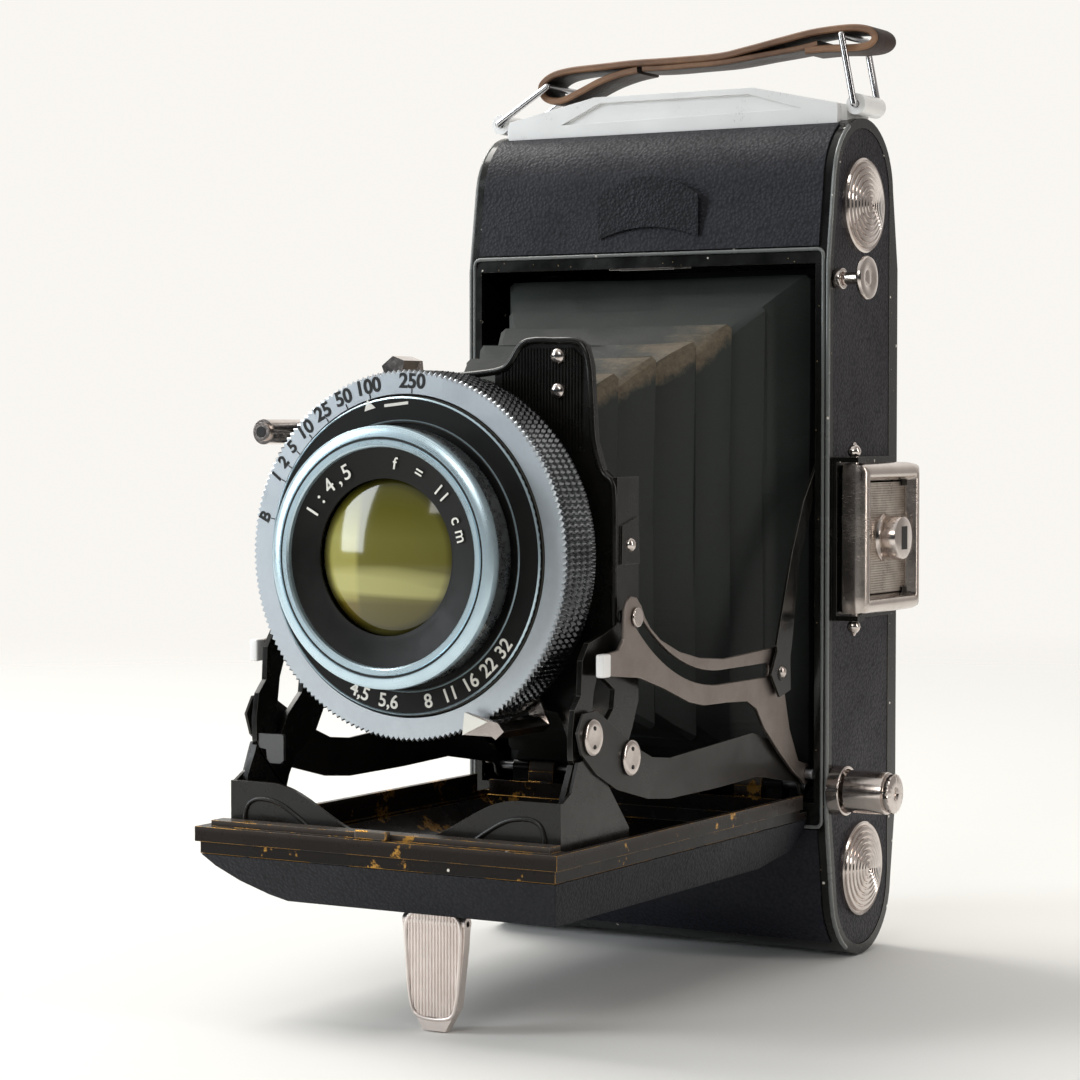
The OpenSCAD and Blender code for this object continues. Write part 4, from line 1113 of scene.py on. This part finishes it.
# Hollow end of the cable socket as a black disc of painted shade, and the white tip of the stop pointer
tip = place(-29, -85.65, 100.4)
lathe(
    "socket_bore", [(0, 0.05), (0.95, 0.05), (0.95, -0.3), (0, -0.3)], tip, FORWARD, "ink_and_shade",
    BODY_OF["cocking_lever"], (), 32
)
slab(
    "stop_tip", [(13.1, 49.9), (13.5, 53.7), (18, 52.3)], -87.2, -86.95, "Y", "white_ink", "aperture_pointer",
    (), 0.03
)

# Strap: an outer band whose ends loop round the bails

STRAP_LOW, STRAP_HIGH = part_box("strap")
strap_mid = middle(STRAP_LOW, STRAP_HIGH)[1]
strap_half = (STRAP_HIGH.y - STRAP_LOW.y) / 2 / MM


def band(name, path, thick, half):
    """A leather band that follows a path of (x, z) points in mm, with rounded edges."""
    pts = smooth_path([Vector((x, z, 0)) for x, z in path], 6)
    bm = bmesh.new()
    rows = []
    section = [
        (-1, -0.55), (-0.93, -0.9), (-0.8, -1), (-0.4, -1), (0, -1), (0.4, -1), (0.8, -1), (0.93, -0.9),
        (1, -0.55), (1, 0.55), (0.93, 0.9), (0.8, 1), (0.4, 1.04), (0, 1.06), (-0.4, 1.04), (-0.8, 1),
        (-0.93, 0.9), (-1, 0.55)
    ]
    for i, p in enumerate(pts):
        a, b = pts[max(i - 1, 0)], pts[min(i + 1, len(pts) - 1)]
        way = (b - a).normalized()
        normal = Vector((-way.y, way.x))
        row = []
        for u, v in section:
            off = v * thick / 2
            row.append(bm.verts.new(place(p.x + normal.x * off, strap_mid + u * half, p.y + normal.y * off)))
        rows.append(row)
    n = len(section)
    edge_faces = []
    for a, b in zip(rows, rows[1:]):
        for i in range(n):
            f = bm.faces.new((a[i], a[(i + 1) % n], b[(i + 1) % n], b[i]))
            if i in (0, 7, 8, 9, 16, 17):
                edge_faces.append(f)
    bm.faces.new(rows[0])
    bm.faces.new(rows[-1])
    for f in edge_faces:
        f.material_index = 1
    obj = from_bmesh(name, bm)
    obj.data.materials.append(M["strap"])
    obj.data.materials.append(M["strap_edge"])
    return finish_piece(obj, None, "strap", (), 50)


top_path = [
    (28.5, 173.2), (33.5, 173.3), (38.6, 173.1), (41.6, 173.4), (42.9, 174.5), (42.2, 175.9), (39.8, 176.7),
    (36.2, 176.9), (30, 176.5), (23.8, 175.5), (16, 174.1), (9.8, 173.2), (0, 173.0), (-9, 173.0), (-17, 172.7),
    (-23.5, 172.4), (-27.6, 171.6), (-29.9, 170.0), (-29.9, 168.3), (-28.4, 166.9), (-25.2, 166.6),
    (-21, 168.1), (-16.5, 169.9), (-12, 171.1), (-8, 171.7)
]
strap = band("strap_outer", top_path, 1.5, strap_half)
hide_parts("strap")
inner = [(-7, 171.9), (-3, 171.8), (3, 171.9), (11, 172.1), (19, 172.9), (26, 173.6), (31, 174.4)]
band("strap_inner", inner, 1.2, strap_half - 0.25)

# Stage

floor_mesh = bmesh.new()
bmesh.ops.create_circle(floor_mesh, cap_ends=True, segments=96, radius=3.2)
floor = from_bmesh("floor", floor_mesh)
floor.location = (0, 0, -0.0002)
s = Shader("pale_floor", srgb(236, 236, 234), 0.75)
centre = s.node("ShaderNodeVectorMath", operation="LENGTH")
s.link(s.coords, centre.inputs[0])
away = s.math("MULTIPLY", centre.outputs["Value"], 1 / 3.2)
s.feed("Alpha", s.ramp(away, (0.07, 1.0), (0.3, 0.0)))
floor.data.materials.append(s.material)

world = bpy.data.worlds.new("studio")
bpy.context.scene.world = world
world.use_nodes = True
tree = world.node_tree
back = tree.nodes["Background"]
where = tree.nodes.new("ShaderNodeTexCoord")
split = tree.nodes.new("ShaderNodeSeparateXYZ")
tree.links.new(where.outputs["Generated"], split.inputs[0])
half = tree.nodes.new("ShaderNodeMath")
half.operation = "MULTIPLY_ADD"
half.inputs[1].default_value = 0.5
half.inputs[2].default_value = 0.5
tree.links.new(split.outputs["Y"], half.inputs[0])
behind = color_ramp(
    tree, half.outputs[0], (0.12, (0.05, 0.055, 0.06, 1)), (0.42, (0.32, 0.32, 0.31, 1)),
    (0.62, (1.0, 0.975, 0.93, 1))
)
above = color_ramp(tree, split.outputs["Z"], (0.3, 0.0), (0.75, (0.8, 0.8, 0.78, 1)))
joined = color_mix(tree, 1.0, behind, above, "LIGHTEN")
dim = color_ramp(tree, split.outputs["X"], (0.0, 1.0), (0.5, (0.34, 0.33, 0.33, 1)))
tree.links.new(color_mix(tree, 1.0, joined, dim, "MULTIPLY"), back.inputs["Color"])
back.inputs["Strength"].default_value = 0.95


def area_light(name, at, target, size, power, color=(1, 1, 1)):
    light = bpy.data.lights.new(name, "AREA")
    light.shape = "RECTANGLE"
    light.size, light.size_y = size
    light.energy = power
    light.color = color
    obj = add_object(name, light)
    obj.location = at
    obj.rotation_euler = (Vector(target) - Vector(at)).to_track_quat("-Z", "Y").to_euler()
    return obj


area_light("key", (-0.75, 0.15, 0.95), (0, 0, 0.07), (0.6, 0.6), 9, (1.0, 0.97, 0.92))
left_light = area_light("left", (-0.95, -0.75, 0.45), (0, -0.03, 0.08), (0.35, 0.8), 7, (0.9, 0.96, 1.0))
left_light.data.specular_factor = 0.5
area_light("right", (1.0, 0.1, 0.45), (0, 0, 0.08), (0.12, 0.9), 2.6, (1.0, 0.95, 0.9))
front_light = area_light("front", (0.1, -1.3, 0.75), (0, 0, 0.08), (0.6, 0.4), 3.5, (1.0, 0.98, 0.95))
front_light.data.specular_factor = 0.2

camera_data = bpy.data.cameras.new("camera")
camera_data.sensor_width = 36
camera_data.lens = 100.08
camera_data.clip_start = 0.01
camera = add_object("camera", camera_data)
camera.location = place(277.20, -511.04, 101.38)
YAW, PITCH = math.radians(30.44), math.radians(2.17)
look_along = Vector((-math.sin(YAW) * math.cos(PITCH), math.cos(YAW) * math.cos(PITCH), -math.sin(PITCH)))
camera.rotation_euler = look_along.to_track_quat("-Z", "Y").to_euler()
bpy.context.scene.camera = camera
bpy.context.scene.view_settings.view_transform = "Standard"
